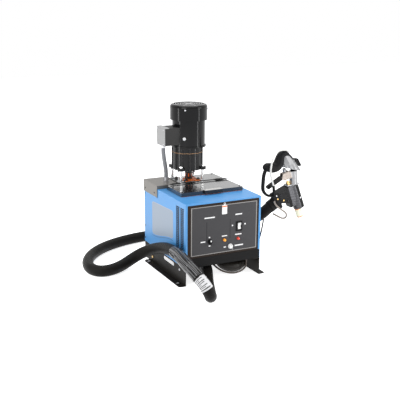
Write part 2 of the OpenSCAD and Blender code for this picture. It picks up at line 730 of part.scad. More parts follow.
conduit_top = [-139, 388];
conduit_foot = [-115, 408];
conduit_d = 20;
conduit_z = [jbox[2] - 16.3, deck_top + 17.3];
conduit_path = [
  for (i = [0:9]) let (t = i / 9, q = max(0, min(1, (i - 1) / 7)), k = q * q * (3 - 2 * q)) [
    conduit_top[0] + k * (conduit_foot[0] - conduit_top[0]),
    conduit_top[1] + k * (conduit_foot[1] - conduit_top[1]),
    conduit_z[0] + t * (conduit_z[1] - conduit_z[0])]
];
module conduit() color([0.5, 0.5, 0.52]) placed() tube(conduit_path, conduit_d, 12, [0, 1, 0]);
module conduit_fittings() color(steel) placed() {
  translate([conduit_top[0], conduit_top[1], jbox[2] - 16]) {
    cylinder(d = 28, h = 12.6, $fn = 6);
    cylinder(d = 20, h = 22);
  }
  translate([conduit_foot[0], conduit_foot[1], deck_top - 3]) {
    cylinder(d = 30, h = 8, $fn = 6);
    translate([0, 0, -8]) cylinder(d = 20, h = 20);
    translate([0, 0, 8]) cylinder(d = 26, h = 12);
  }
}

// ---- panel controls and electrics ----

module switch_bezel() color(black) placed() {
  mouth = [rocker_at[0] - rocker_w / 2, rocker_at[1] - rocker_h / 2];
  upright(panel_y - 3, 3) difference() {
    translate(mouth - [9, 6]) round_rect([rocker_w + 15, rocker_h + 12], 3);
    translate(mouth) square([rocker_w, rocker_h]);
  }
  upright(panel_y - 1, 16) difference() {
    translate(mouth - [0.8, 0.8]) square([rocker_w + 1.6, rocker_h + 1.6]);
    translate(mouth) square([rocker_w, rocker_h]);
  }
  bar_x([mouth[0] - 0.4, panel_y + 6, rocker_at[1]], rocker_pin, rocker_w + 0.8);
}

module power_rocker() color("white") placed() translate([rocker_at[0], panel_y + 6, rocker_at[1]]) {
  difference() {
    rotate([0, 90, 0]) linear_extrude(rocker_w - 1, center = true) polygon([
      [-rocker_h / 2 + 2.4, -7.5], [-rocker_h / 2 + 2.4, -1], [-6, 4], [6, 4],
      [rocker_h / 2 - 2.4, -1], [rocker_h / 2 - 2.4, -7.5], [rocker_h / 2 - 4, -8], [0, -5.5],
      [-rocker_h / 2 + 4, -10.5]
    ]);
    bar_x([-30, 0, 0], rocker_pin + 2 * run, 60);
  }
}

module knob(at, d, h) placed() translate([at[0], panel_y, at[1]]) rotate([90, 0, 0]) {
  translate([0, 0, -8]) cylinder(d = knob_shaft, h = 10);
  translate([0, 0, 0.5]) cylinder(d = d, h = 3);
  translate([0, 0, 3]) cylinder(d = 0.8 * d, h = h);
}
module selector_knob() color(black) {
  knob(knob_at, knob_d, 6);
  placed() translate([knob_at[0] - 3.5, panel_y - 15, knob_at[1] - 0.45 * knob_d]) cube([7, 8, 0.9 * knob_d]);
}
module dial_knob() color("white") knob(dial_at, dial_d, 9);

module lamp(at) placed() translate([at[0], panel_y, at[1]]) rotate([90, 0, 0]) {
  translate([0, 0, -12]) cylinder(d = lamp_d - 2, h = 13);
  cylinder(d = lamp_d + 2, h = 2);
  translate([0, 0, 2]) cylinder(d = lamp_d, h = 5);
}
module pilot_lamps() {
  color("orange") lamp(amber_at);
  color(red) lamp(red_at);
}

module control_board() color([0.1, 0.35, 0.2]) placed() {
  board_z = leg_h + 74;
  block([-150, 40, board_z], [200, 1.6, 160]);
  block([-120, 20, board_z + 90], [46, 20.5, 30]);
  block([-40, 26, board_z + 30], [60, 14.5, 44]);
  for (x = [-144, 44], z = [6, 154]) bar_y([x, panel_y + sheet, board_z + z], 6, 40.5 - panel_y - sheet);
}

module hang_tag() color("white") placed() upright(panel_y - 1.8, 0.8) difference() {
  union() {
    translate([tag_at[0] - 13.5, tag_at[1] - 52]) round_rect([27, 44], 2);
    translate([tag_at[0] - 5, tag_at[1] - 21]) round_rect([10, 26], 4);
  }
  translate(tag_at) circle(d = 3 + 2 * run);
}

// ---- pump, outlet and cords ----

module pump_body() color([0.45, 0.45, 0.47]) placed() {
  lo = pump_z0;
  difference() {
    block([-32, axis_y - 32, lo], [64 + pump_cd, 64, 92]);
    for (x = [0, pump_cd]) {
      translate([x, axis_y, pump_gear_z - 0.2]) cylinder(d = pump_m * (pump_z + 2) + 0.4, h = pump_gear_h + 0.4);
    }
    translate([0, axis_y, lo + 10]) cylinder(d = pump_shaft_d + 2 * run, h = 200);
    translate([pump_cd, axis_y, lo + 10]) cylinder(d = pump_shaft_d + 2 * run, h = 60);
    bar_x([pump_cd / 2 - 60, axis_y - 20, pump_gear_z + 13], 10, 10);
    translate([0, axis_y, lo - 1]) cylinder(d = 10, h = 8);
  }
}

module pump_driven_gear() color(steel) placed() translate([pump_cd, axis_y, 0]) {
  translate([0, 0, pump_gear_z]) linear_extrude(pump_gear_h) rotate(180 / pump_z) gear_2d(pump_m, pump_z, 0);
  translate([0, 0, pump_gear_z - 9]) cylinder(d = pump_shaft_d, h = 56);
}

manifold_z = 28;
module outlet_manifold() color([0.3, 0.3, 0.31]) placed() {
  difference() {
    union() {
      block([-66, 150, manifold_z], [96, 70, 96]);
      block([-20, 200, leg_h + sheet + 2], [40, axis_y - 186, 36]);
      translate([0, axis_y, leg_h + 36]) cylinder(d = 13.6, h = tank_z - leg_h - 30);
    }
    bar_y([-50, 140, outlet_z], 14, 40);
  }
  bar_y([-50, 120, outlet_z], 38, 20);
  bar_y([-50, 140, outlet_z], 30, 10);
  bar_y([-12, 126, 58], 14, 24);
}

module hose() color(black) placed() tube(hose_path, hose_d, 10);
module hose_cuffs() color([0.2, 0.2, 0.21]) {
  placed() translate([-50, 95, outlet_z]) rotate([-90, 0, 0]) ring(hose_d + 6, hose_d + 2 * fit, 24.7);
  at_tail() {
    translate([-39.3, 0, 0]) rotate([0, 90, 0]) ring(hose_d + 6, hose_d + 2 * fit, 39);
    translate([-28, 0, 0]) rotate([-110, 0, 0]) translate([0, 0, 30]) cylinder(d = 11, h = 9);
    bar_x([-0.3, 0, 0], spigot_d, 20);
  }
}
module hose_lead() color([0.2, 0.17, 0.15]) placed() tube(lead_path, 9, 8, [1, 0, 0]);
module signal_cable() color(black) placed() tube(signal_path, 7, 8, [1, 0, 0]);

module cable_glands() color(black) placed() {
  translate([lead_x, 34, leg_h - 6]) { cylinder(d = 12, h = 12); cylinder(d = 20, h = 6, $fn = 6); }
  bar_y([gland_x, cab_d, gland_z], 20, 12);
  bar_y([gland_x, cab_d - 8, gland_z], 12, 8);
  bar_y([mains_x, cab_d, gland_z], 28, 14);
  bar_y([mains_x, cab_d - 8, gland_z], 16, 8);
}

// ---- hand gun ----

module gun_body() color(black) on_gun() difference() {
  union() {
    cylinder(d = head_d, h = head_h);
    across(2 * gun_half) polygon([[-100, 134], [-40, 138], [0, 138], [0, 52], [-62, 58], [-100, 76]]);
    across(2 * gun_half - 6) polygon([[-56, 28], [-20, 28], [-20, 70], [-56, 70]]);
  }
  translate([valve_at[0] - 40, -60, valve_at[1]]) translate([40, 0, 0]) rotate([0, valve_lean, 0])
    cube([140, 120, 60]);
  translate([8, 0, 40]) cylinder(d = needle_d + 4, h = 200);
  translate([nozzle_x, 0, -1]) cylinder(d = 4, h = 44);
  bar_x([nozzle_x - 1.9, 0, 41], 4, 22);
}

module gun_rear_block() color([0.16, 0.16, 0.16]) {
  difference() {
    on_gun() across(48) polygon([
      [-100.2, 134], [-122, 134], [-140, 122], [-140, 60], [-112, 50], [-100.2, 54]
    ]);
    at_tail() block([-80, -40, -100], [80, 80, 200]);
    at_tail() bar_x([-1, 0, 0], spigot_d + 2 * run, 25);
    on_gun() hull() for (p = [[-136, 133], [-118, 136]]) translate([p[0], 0, p[1]]) sphere(r = 7.4, $fn = 16);
  }
  on_gun() {
    translate([-138, -31, 113]) rotate([0, 15, 0]) cylinder(d = 14, h = 76);
    across_at([-136, 116], [13, 13], [-38, -20]);
  }
}

// A box in the gun's frame: low corner in X and Z, size in X and Z, low and high Y
module across_at(at, size, y) translate([at[0], y[0], at[1]]) cube([size[0], y[1] - y[0], size[1]]);

// Grip with its round end, its arched head on the air valve, and the hand guard
module gun_handle() color(black) {
  guard = [[-120, 277], [-134, 257], [-154, 214], [-166, 178], [-157, 149], [-136, 133], [-118, 136]];
  grip = [[-113, 282, 22], [-80, 264, 26], [-50, 262, 26], [-30, 284, 26], [-14, 304, 21], [6, 302, 18],
    [19, 289, 12], [36, 250, 13]];
  on_gun() {
    for (i = [0:len(grip) - 2]) hull() {
      for (p = [grip[i], grip[i + 1]]) translate([p[0], 0, p[1]]) sphere(r = p[2], $fn = 24);
    }
    for (i = [0:len(guard) - 2]) hull() {
      for (p = [guard[i], guard[i + 1]]) translate([p[0], 0, p[1]])
        sphere(r = p[1] > 170 ? 9.5 : 7, $fn = 16);
    }
  }
  at_valve() translate([46.5, 0, valve_h + 0.2]) cylinder(d = 26, h = 50);
}

// Air valve on its foot plate, with the two cheeks that hold the trigger's pin
module gun_valve() color(steel) difference() {
  union() {
    at_valve() {
      block([0, -19, 0.2], [70, 38, 6]);
      translate([46.5, 0, 0.2]) cylinder(d = valve_d, h = valve_h - 0.2);
    }
    on_gun() {
      for (s = [-1, 1]) translate([0, s * 12, 0]) across(5) polygon([
        [-54, 188], [-40, 212], [4, 205], [20, 190], [14, 172], [-14, 174], [-40, 175]
      ]);
      across_at([-36, 206.5], [34, 5], [-14, 14]);
      translate([-20, 0, 211]) cylinder(d = 18, h = 14);
      translate([-20, 0, 225]) sphere(d = 18, $fn = 24);
      bar_y([-28, -14, trigger_w], pivot_d, 28);
    }
  }
  on_gun() translate([8, 0, 120]) cylinder(d = needle_d + 2 * run, h = 56);
}

// Air inlet with its nut, beside the foot of the air valve
module air_fitting() color([0.9, 0.7, 0.3]) at_valve() {
  translate([13, 0, 6.3]) cylinder(d = 22, h = 6, $fn = 6);
  translate([13, 0, 12]) cylinder(d = 17, h = 10);
}

module valve_needle() color(steel) on_gun() {
  translate([8, 0, 44]) cylinder(d = needle_d, h = 124);
  translate([8, 0, 46]) cylinder(d = needle_d + 3, h = 8);
}

module trigger_lever() color(black) on_gun() difference() {
  across(17) polygon([
    [-143, 188], [-142, 176], [-138, 171], [-57, 182], [-36, 184], [-21, 188], [-19, 196],
    [-22, 202], [-34, 203], [-59, 203]
  ]);
  bar_y([-28, -20, trigger_w], pivot_d + 2 * run, 40);
}

// Grey sleeve that wraps the head of the grip, with the plug at its right side
module gun_cover() color([0.6, 0.6, 0.6]) on_gun() {
  difference() {
    across(64) polygon([
      [-31, 280], [-20, 294], [4, 306], [20, 306], [34, 296], [41, 282], [58, 248], [66, 208],
      [69, 180], [56, 168], [50, 196], [24, 203], [-5, 227], [-30, 247]
    ]);
    across(58) polygon([
      [-60, 150], [-60, 340], [14, 340], [38, 281], [55, 247], [63, 207], [62, 190], [52, 150]
    ]);
  }
  across(18) polygon([[50, 258], [70, 248], [78, 204], [62, 206]]);
}
module gun_cable() color("white") on_gun() tube(gun_cable_path, 9, 8, [0, 1, 0]);
module gun_lead() color([0.35, 0.3, 0.27]) on_gun() tube(gun_lead_path, 9, 8, [0, 1, 0]);

module nozzle() color([0.9, 0.85, 0.7]) on_gun() translate([nozzle_x, 0, 0]) difference() {
  union() {
    translate([0, 0, -13]) cylinder(d = 36, h = 12.8, $fn = 6);
    translate([0, 0, -46]) cylinder(d = 34, h = 34);
    translate([0, 0, -52]) cylinder(d = 30, h = 7);
  }
  translate([0, 0, -60]) cylinder(d = 4, h = 70);
}

cabinet_shell();
base_tray();
left_leg();
right_leg();
front_panel();
rear_panel();
rear_cover();
cabinet_screws();
hopper();
silicone_seals();
pump_shaft();
deck_plate();
deck_clamps();
hinge_pin();
motor_posts();
gearbox_lower();
gearbox_gasket();
gearbox_upper();
bearings();
motor_frame();
motor_cowl();
stator();
junction_box();
junction_cover();
conduit();
conduit_fittings();
switch_bezel();
pilot_lamps();
control_board();
pump_body();
outlet_manifold();
hose();
hose_cuffs();
hose_lead();
signal_cable();
cable_glands();
lid();
lid_handle();
power_rocker();
selector_knob();
dial_knob();
hang_tag();
motor_rotor();
motor_fan();
layshaft();
output_shaft();
coupling_hubs();
coupling_spider();
pump_driven_gear();
gun_body();
gun_rear_block();
gun_handle();
gun_valve();
air_fitting();
gun_cover();
gun_cable();
gun_lead();
nozzle();
trigger_lever();
valve_needle();
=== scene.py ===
import bpy
import numpy as np
from mathutils import Matrix, Vector


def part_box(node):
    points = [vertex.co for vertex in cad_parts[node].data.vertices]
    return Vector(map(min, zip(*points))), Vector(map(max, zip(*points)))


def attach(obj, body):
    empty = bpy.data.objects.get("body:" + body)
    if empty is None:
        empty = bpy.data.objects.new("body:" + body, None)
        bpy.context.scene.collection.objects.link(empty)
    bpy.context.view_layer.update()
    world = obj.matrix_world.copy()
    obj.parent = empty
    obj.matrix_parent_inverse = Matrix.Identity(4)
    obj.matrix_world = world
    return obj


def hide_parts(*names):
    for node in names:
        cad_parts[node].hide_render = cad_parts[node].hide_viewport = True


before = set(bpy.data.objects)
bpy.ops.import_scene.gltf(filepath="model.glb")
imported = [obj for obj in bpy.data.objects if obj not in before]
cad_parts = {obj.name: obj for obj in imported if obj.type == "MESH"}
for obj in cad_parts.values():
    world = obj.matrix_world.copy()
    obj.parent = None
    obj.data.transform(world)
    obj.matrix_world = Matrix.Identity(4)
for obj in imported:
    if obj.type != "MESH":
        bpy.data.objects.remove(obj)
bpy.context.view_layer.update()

# ---------------------------------------------------------------------------
# Camera, floor and lamps
# A long lens nearly four metres away, looking down on the cabinet's left front corner. Three boxes and
# two low strips light it. The floor and the sky are plain white to the camera and to gloss.
# ---------------------------------------------------------------------------
eye = Vector((-1.699, -3.372, 1.343))
aim = Vector((-0.052, -0.075, 0.368))
roll = np.radians(0.39)
look = (aim - eye).normalized()
side = look.cross(Vector((0, 0, 1))).normalized()
over = side.cross(look)
side, over = side * np.cos(roll) + over * np.sin(roll), over * np.cos(roll) - side * np.sin(roll)
camera = bpy.data.objects.new("studio_camera", bpy.data.cameras.new("studio_camera"))
camera.data.lens = 71.2
camera.data.sensor_width = 36
camera.data.sensor_fit = "HORIZONTAL"
camera.data.clip_end = 60
camera.matrix_world = Matrix.Translation(eye) @ Matrix((side, over, -look)).transposed().to_4x4()
bpy.context.scene.collection.objects.link(camera)
bpy.context.scene.camera = camera
bpy.context.scene.view_settings.view_transform = "Standard"

world = bpy.data.worlds.new("white_room")
bpy.context.scene.world = world
world.use_nodes = True
wn, wl = world.node_tree.nodes, world.node_tree.links
wn.clear()
sky_seen = wn.new("ShaderNodeBackground")
sky_seen.inputs["Color"].default_value = (1, 1, 1, 1)
sky_seen.inputs["Strength"].default_value = 1.0
sky_light = wn.new("ShaderNodeBackground")
sky_light.inputs["Color"].default_value = (0.97, 0.98, 1, 1)
sky_light.inputs["Strength"].default_value = 0.55
ray = wn.new("ShaderNodeLightPath")
camera_or_clear = wn.new("ShaderNodeMath")
camera_or_clear.operation = "MAXIMUM"
wl.new(ray.outputs["Is Camera Ray"], camera_or_clear.inputs[0])
wl.new(ray.outputs["Is Transmission Ray"], camera_or_clear.inputs[1])
gloss_too = wn.new("ShaderNodeMath")
gloss_too.operation = "MAXIMUM"
wl.new(camera_or_clear.outputs[0], gloss_too.inputs[0])
wl.new(ray.outputs["Is Glossy Ray"], gloss_too.inputs[1])
room = wn.new("ShaderNodeMixShader")
wl.new(gloss_too.outputs[0], room.inputs[0])
wl.new(sky_light.outputs[0], room.inputs[1])
wl.new(sky_seen.outputs[0], room.inputs[2])
world_out = wn.new("ShaderNodeOutputWorld")
wl.new(room.outputs[0], world_out.inputs["Surface"])


def softbox(name, place, target, width, height, watts):
    """A rectangular lamp at place, turned to face target."""
    lamp = bpy.data.objects.new(name, bpy.data.lights.new(name, "AREA"))
    lamp.data.shape = "RECTANGLE"
    lamp.data.size, lamp.data.size_y, lamp.data.energy = width, height, watts
    lamp.location = place
    lamp.visible_camera = False
    lamp.rotation_euler = (Vector(target) - Vector(place)).to_track_quat("-Z", "Y").to_euler()
    bpy.context.scene.collection.objects.link(lamp)


softbox("left_box", (-2.6, -1.6, 1.9), (0, 0, 0.35), 1.6, 1.9, 43)
softbox("right_box", (2.4, -2.2, 1.6), (0, 0, 0.4), 1.5, 1.9, 40)
softbox("top_box", (0.1, 0.3, 3.0), (0, 0, 0.3), 2.2, 2.0, 44)
softbox("left_strip", (-1.16, 0.13, 0.36), (0, 0.12, 0.36), 0.12, 0.7, 2.2)
softbox("right_strip", (0.90, -0.95, 0.36), (0, 0.12, 0.36), 0.10, 0.7, 2.0)


def plain(name, colour, rough):
    """A one-colour surface, for the stage."""
    mat = bpy.data.materials.new(name)
    mat.use_nodes = True
    shader = mat.node_tree.nodes["Principled BSDF"]
    shader.inputs["Base Color"].default_value = (*colour, 1)
    shader.inputs["Roughness"].default_value = rough
    return mat


floor_mesh = bpy.data.meshes.new("studio_floor")
floor_corners = [(x, y, -0.0005) for x, y in ((-9, -9), (9, -9), (9, 9), (-9, 9))]
floor_mesh.from_pydata(floor_corners, [], [(0, 1, 2, 3)])
floor = bpy.data.objects.new("studio_floor", floor_mesh)
bpy.context.scene.collection.objects.link(floor)
floor_mat = plain("floor_white", (0.96, 0.96, 0.96), 0.9)
fn, fl = floor_mat.node_tree.nodes, floor_mat.node_tree.links
glow = fn.new("ShaderNodeEmission")
glow.inputs["Color"].default_value = (1, 1, 1, 1)
glow.inputs["Strength"].default_value = 0.8
both = fn.new("ShaderNodeAddShader")
only_seen = fn.new("ShaderNodeMixShader")
seen = fn.new("ShaderNodeLightPath")
seen_or_gloss = fn.new("ShaderNodeMath")
seen_or_gloss.operation = "MAXIMUM"
fl.new(seen.outputs["Is Camera Ray"], seen_or_gloss.inputs[0])
fl.new(seen.outputs["Is Glossy Ray"], seen_or_gloss.inputs[1])
fl.new(fn["Principled BSDF"].outputs[0], both.inputs[0])
fl.new(glow.outputs[0], both.inputs[1])
fl.new(seen_or_gloss.outputs[0], only_seen.inputs[0])
fl.new(fn["Principled BSDF"].outputs[0], only_seen.inputs[1])
fl.new(both.outputs[0], only_seen.inputs[2])
fl.new(only_seen.outputs[0], fn["Material Output"].inputs["Surface"])
floor_mesh.materials.append(floor_mat)


# ---------------------------------------------------------------------------
# Cabinet
# Folded 2 mm steel, powder coated light blue outside, with a satin black tray, legs and front panel.
# The shell is one folded sheet; the tray, legs and panel are screwed into it from inside.
# ---------------------------------------------------------------------------
cabinet = "cabinet"


def cab(x, y, z):
    """A point given in millimetres from the cabinet's front, middle and floor."""
    return np.array([x, y - 225.0, z]) / 1000


def finish(name, colour, rough, metal=0.0, mottle=0.05, grain=0.1, scale=260.0, coat=0.0, shine=0.5,
           stretch=(1, 1, 1)):
    """A real surface. A coarse noise makes the colour lighter and darker by mottle and moves the
    roughness; a fine noise, stretched along the tool marks, raises a bump of strength grain. The clear
    part of its gloss is shine."""
    mat = bpy.data.materials.new(name)
    mat.use_nodes = True
    n, l = mat.node_tree.nodes, mat.node_tree.links
    shader = n["Principled BSDF"]
    shader.inputs["Metallic"].default_value = metal
    shader.inputs["Specular IOR Level"].default_value = shine
    shader.inputs["Coat Weight"].default_value = coat
    shader.inputs["Coat Roughness"].default_value = 0.08
    where = n.new("ShaderNodeTexCoord")
    spread = n.new("ShaderNodeMapping")
    spread.inputs["Scale"].default_value = stretch
    l.new(where.outputs["Object"], spread.inputs["Vector"])
    coarse, fine = n.new("ShaderNodeTexNoise"), n.new("ShaderNodeTexNoise")
    coarse.inputs["Scale"].default_value = scale / 22
    fine.inputs["Scale"].default_value = scale
    fine.inputs["Detail"].default_value = 4
    for noise in (coarse, fine):
        l.new(spread.outputs[0], noise.inputs["Vector"])
    tone = n.new("ShaderNodeMix")
    tone.data_type = "RGBA"
    tone.inputs["A"].default_value = (*[c * (1 - mottle) for c in colour], 1)
    tone.inputs["B"].default_value = (*[min(1, c * (1 + mottle)) for c in colour], 1)
    l.new(coarse.outputs[0], tone.inputs["Factor"])
    l.new(tone.outputs["Result"], shader.inputs["Base Color"])
    worn = n.new("ShaderNodeMapRange")
    worn.inputs["To Min"].default_value = max(0.03, rough - 0.06)
    worn.inputs["To Max"].default_value = min(1, rough + 0.06)
    l.new(coarse.outputs[0], worn.inputs[0])
    l.new(worn.outputs[0], shader.inputs["Roughness"])
    bump = n.new("ShaderNodeBump")
    bump.inputs["Strength"].default_value = grain
    bump.inputs["Distance"].default_value = 0.0004
    l.new(fine.outputs[0], bump.inputs["Height"])
    l.new(bump.outputs[0], shader.inputs["Normal"])
    return mat


def dress(mat, *names):
    """Puts the material on every slot of the named CAD pieces."""
    for name in names:
        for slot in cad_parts[name].material_slots:
            slot.material = mat


def sums(mat, kind, a, b=None):
    """A math step in mat's nodes, between sockets or numbers."""
    step = mat.node_tree.nodes.new("ShaderNodeMath")
    step.operation = kind
    for k, v in enumerate((a, b)):
        if v is None:
            continue
        if isinstance(v, (int, float, np.floating)):
            step.inputs[k].default_value = float(v)
        else:
            mat.node_tree.links.new(v, step.inputs[k])
    return step.outputs[0]


def inside(mat, xz, x0, x1, z0, z1):
    """1 inside the upright rectangle, 0 outside it: each distance from the middle is under its half."""
    hits = [sums(mat, "LESS_THAN", sums(mat, "ABSOLUTE", sums(mat, "SUBTRACT", v, (a + b) / 2)), (b - a) / 2)
            for v, a, b in ((xz[0], x0, x1), (xz[1], z0, z1))]
    return sums(mat, "MULTIPLY", *hits)


def over_paint(mat, mask, colour, metal=None):
    """Lays colour over mat where mask is 1, and changes the metallic value there too."""
    n, l = mat.node_tree.nodes, mat.node_tree.links
    shader = n["Principled BSDF"]
    layer = n.new("ShaderNodeMix")
    layer.data_type = "RGBA"
    l.new(shader.inputs["Base Color"].links[0].from_socket, layer.inputs["A"])
    layer.inputs["B"].default_value = (*colour, 1)
    l.new(mask, layer.inputs["Factor"])
    l.new(layer.outputs["Result"], shader.inputs["Base Color"])
    if metal is not None:
        metals = n.new("ShaderNodeMapRange")
        metals.inputs["To Min"].default_value = shader.inputs["Metallic"].default_value
        metals.inputs["To Max"].default_value = metal
        l.new(mask, metals.inputs[0])
        l.new(metals.outputs[0], shader.inputs["Metallic"])


def solid_place(mat):
    """The x, y and z of the shaded point in the shared frame, as sockets."""
    n = mat.node_tree.nodes
    here, parts = n.new("ShaderNodeTexCoord"), n.new("ShaderNodeSeparateXYZ")
    mat.node_tree.links.new(here.outputs["Object"], parts.inputs[0])
    return parts.outputs["X"], parts.outputs["Y"], parts.outputs["Z"]


def solid(name, rows, body, mat, smooth=True, caps=True, turns=1.0):
    """A closed skin over a grid of rows that each go once round: quads between neighbours, a flat end at
    each side, and a UV map of turns round by metres along."""
    n, m, _ = rows.shape
    i, j = np.arange(n - 1)[:, None], np.arange(m)[None, :]
    a, b = i * m + j, i * m + (j + 1) % m
    quads = np.stack([a, b, b + m, a + m], axis=-1).reshape(-1, 4)
    s = np.concatenate(([0], np.cumsum(np.linalg.norm(np.diff(rows.mean(axis=1), axis=0), axis=1))))
    u = np.stack(np.broadcast_arrays(j, j + 1, j + 1, j), axis=-1) / m * turns + 0 * i[..., None]
    here, there = s[:-1, None], s[1:, None]
    v = np.stack(np.broadcast_arrays(here, here, there, there), axis=-1) + 0 * j[..., None]
    faces = quads.tolist()
    uv = np.stack([u, v], axis=-1).reshape(-1, 2)
    if caps:
        faces += [list(range(m))[::-1], list(range((n - 1) * m, n * m))]
        uv = np.concatenate([uv, np.zeros((2 * m, 2))])
    mesh = bpy.data.meshes.new(name)
    mesh.from_pydata(rows.reshape(-1, 3).tolist(), [], faces)
    layer = mesh.uv_layers.new(name="cover")
    layer.data.foreach_set("uv", uv.astype(np.float32).ravel())
    mesh.polygons.foreach_set("use_smooth", np.repeat([smooth, False], [len(quads), len(faces) - len(quads)]))
    piece = bpy.data.objects.new(name, mesh)
    bpy.context.scene.collection.objects.link(piece)
    mesh.materials.append(mat)
    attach(piece, body)
    return piece


def on(origin, axis):
    """Returns a function that puts local millimetres at origin, with local +Z along axis."""
    z = np.asarray(axis, float)
    z = z / np.linalg.norm(z)
    x = np.cross((0, 1, 0) if abs(z[1]) < 0.9 else (0, 0, 1), z)
    x /= np.linalg.norm(x)
    turn = np.stack([x, np.cross(z, x), z])
    return lambda p: np.asarray(origin) + np.asarray(p, float) @ turn / 1000


def turned(name, profile, place, body, mat, around=28, smooth=True, spin=0.0):
    """A lathe shape. Each (radius, height) of the profile, in millimetres, becomes one ring."""
    angle = np.linspace(0, 2 * np.pi, around, endpoint=False) + spin
    r, z = np.array(profile, float).T
    rows = np.stack([r[:, None] * np.cos(angle), r[:, None] * np.sin(angle), z[:, None] + 0 * angle], axis=-1)
    return solid(name, place(rows), body, mat, smooth)


def slabs(name, boxes, body, mat):
    """Plain boxes in one piece, each from a low to a high corner in the cabinet's millimetres."""
    corner = np.array([[i & 1, i >> 1 & 1, i >> 2] for i in range(8)])
    side_faces = [[0, 2, 3, 1], [4, 5, 7, 6], [0, 1, 5, 4], [1, 3, 7, 5], [3, 2, 6, 7], [2, 0, 4, 6]]
    spots, faces = [], []
    for low, high in boxes:
        faces += [[len(spots) + k for k in f] for f in side_faces]
        spots += [tuple(cab(*np.where(c, high, low))) for c in corner]
    mesh = bpy.data.meshes.new(name)
    mesh.from_pydata(spots, [], faces)
    piece = bpy.data.objects.new(name, mesh)
    bpy.context.scene.collection.objects.link(piece)
    mesh.materials.append(mat)
    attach(piece, body)
    return piece


powder_blue = finish("light_blue_powder_coat", (0.068, 0.285, 0.62), 0.38, grain=0.12, scale=900)
satin_black = finish("satin_black_powder_coat", (0.007, 0.007, 0.0072), 0.46, grain=0.2, scale=800, shine=0.1)
leg_black = finish("black_leg_paint", (0.016, 0.0145, 0.013), 0.45, grain=0.2, scale=700, shine=0.1)
grey_zinc = finish("zinc_plated_steel", (0.5, 0.5, 0.52), 0.32, metal=1, mottle=0.12, grain=0.05)
dark_zinc = finish("black_zinc_screws", (0.035, 0.035, 0.04), 0.35, metal=1, grain=0.05)
fawn_steel = finish("unpainted_steel_cover", (0.175, 0.163, 0.147), 0.36, metal=0.55, mottle=0.12, grain=0.15,
                    stretch=(1, 6, 1))
# The webs between the vent slots lie in their louvres' shade, in a chevron across each column
_, vent_y, vent_z = solid_place(powder_blue)
vent_step, vent_half, vent_low, vent_high = 0.0086, 0.018, 0.167, 0.371
for column in (-0.186, -0.139):
    off = sums(powder_blue, "ABSOLUTE", sums(powder_blue, "SUBTRACT", vent_y, column))
    tilted = sums(powder_blue, "ADD", vent_z, sums(powder_blue, "MULTIPLY", off, 0.35))
    step_part = sums(powder_blue, "FRACT", sums(powder_blue, "DIVIDE", tilted, vent_step))
    in_column = inside(powder_blue, (vent_y, vent_z), column - vent_half, column + vent_half, vent_low, vent_high)
    shade = sums(powder_blue, "MULTIPLY", sums(powder_blue, "GREATER_THAN", step_part, 0.5), in_column)
    over_paint(powder_blue, shade, (0.012, 0.016, 0.03))
dress(powder_blue, "cabinet_shell", "rear_panel")
dress(satin_black, "base_tray")
dress(leg_black, "left_leg", "right_leg")
dress(dark_zinc, "cabinet_screws")
dress(fawn_steel, "rear_cover")
# A black sheet stands inside each side sheet, behind the slots: painted shade, so that the slots read dark
slabs("vent_shade_sheets", [((x, 16, 166), (x + 1, 109, 374)) for x in (-195, 194)], cabinet, satin_black)

# The panel is brown-black paint, with a charcoal overlay film inside a printed grey line
panel_paint = finish("brown_black_panel_paint", (0.016, 0.009, 0.006), 0.4, grain=0.15, scale=700, shine=0.15)
panel_x, _, panel_z = solid_place(panel_paint)
for colour, edges in (((0.30, 0.29, 0.28), (-0.171, 0.180, 0.141, 0.376)),
                      ((0.055, 0.054, 0.057), (-0.1665, 0.1755, 0.1445, 0.3725)),
                      ((0.012, 0.012, 0.013), (-0.0907, -0.0883, 0.205, 0.300)),
                      ((0.012, 0.012, 0.013), (0.0333, 0.0357, 0.205, 0.300))):
    over_paint(panel_paint, inside(panel_paint, (panel_x, panel_z), *edges), colour)
dress(panel_paint, "front_panel")

# Legends are short bars of white print, and the side carries a bare plate
print_white = finish("white_panel_print", (0.85, 0.85, 0.85), 0.5, mottle=0.02)
slabs("panel_legend_bars", [((x0, 1.85, z0), (x1, 2.0, z1)) for x0, x1, z0, z1 in (
    (-102, -48, 317, 323), (62, 98, 317, 323), (-9, 19, 219, 224), (62, 97, 218, 223.5), (61, 107, 163, 169),
    (-121, -97, 202, 208), (1, 14, 163, 168), (44, 50, 264, 271), (112, 119, 264, 271),
    (-79, -71, 221, 227), (-79, -70, 179, 185), (46, 52, 149, 151))], cabinet, print_white)
label_stock = finish("bare_label_stock", (0.24, 0.30, 0.38), 0.35, mottle=0.06, scale=120)
label_rim = finish("label_edge_print", (0.40, 0.40, 0.44), 0.4)
curve_blue = finish("dark_blue_label_line", (0.02, 0.07, 0.16), 0.4)


def side_plate(name, inset, proud, mat, top=(333, 323), bottom=(194, 154), drop=0.0):
    """A thin plate on the side sheet. Its top edge is straight, its lower edge falls along a half
    cosine from front to rear, and inset and drop move the edges."""
    t = np.linspace(0, 1, 24)
    y = 139 + inset + t * (251 - 2 * inset)
    low = bottom[1] + (bottom[0] - bottom[1]) * (0.5 + 0.5 * np.cos(np.pi * t)) + inset - drop
    high = top[0] + t * (top[1] - top[0]) - inset if drop == 0 else low + 2.2
    corner = 9 * np.exp(-((np.minimum(t, 1 - t)) / 0.018)) * (drop == 0)
    outer, inner = -200 - proud, -199.9
    face = [np.stack([np.full(24, x), y, z], axis=-1) for x, z in (
        (outer, low + corner), (outer, high - corner), (inner, high - corner), (inner, low + corner))]
    return solid(name, np.stack(face, axis=1) / 1000 - (0, 0.225, 0), cabinet, mat, smooth=False)


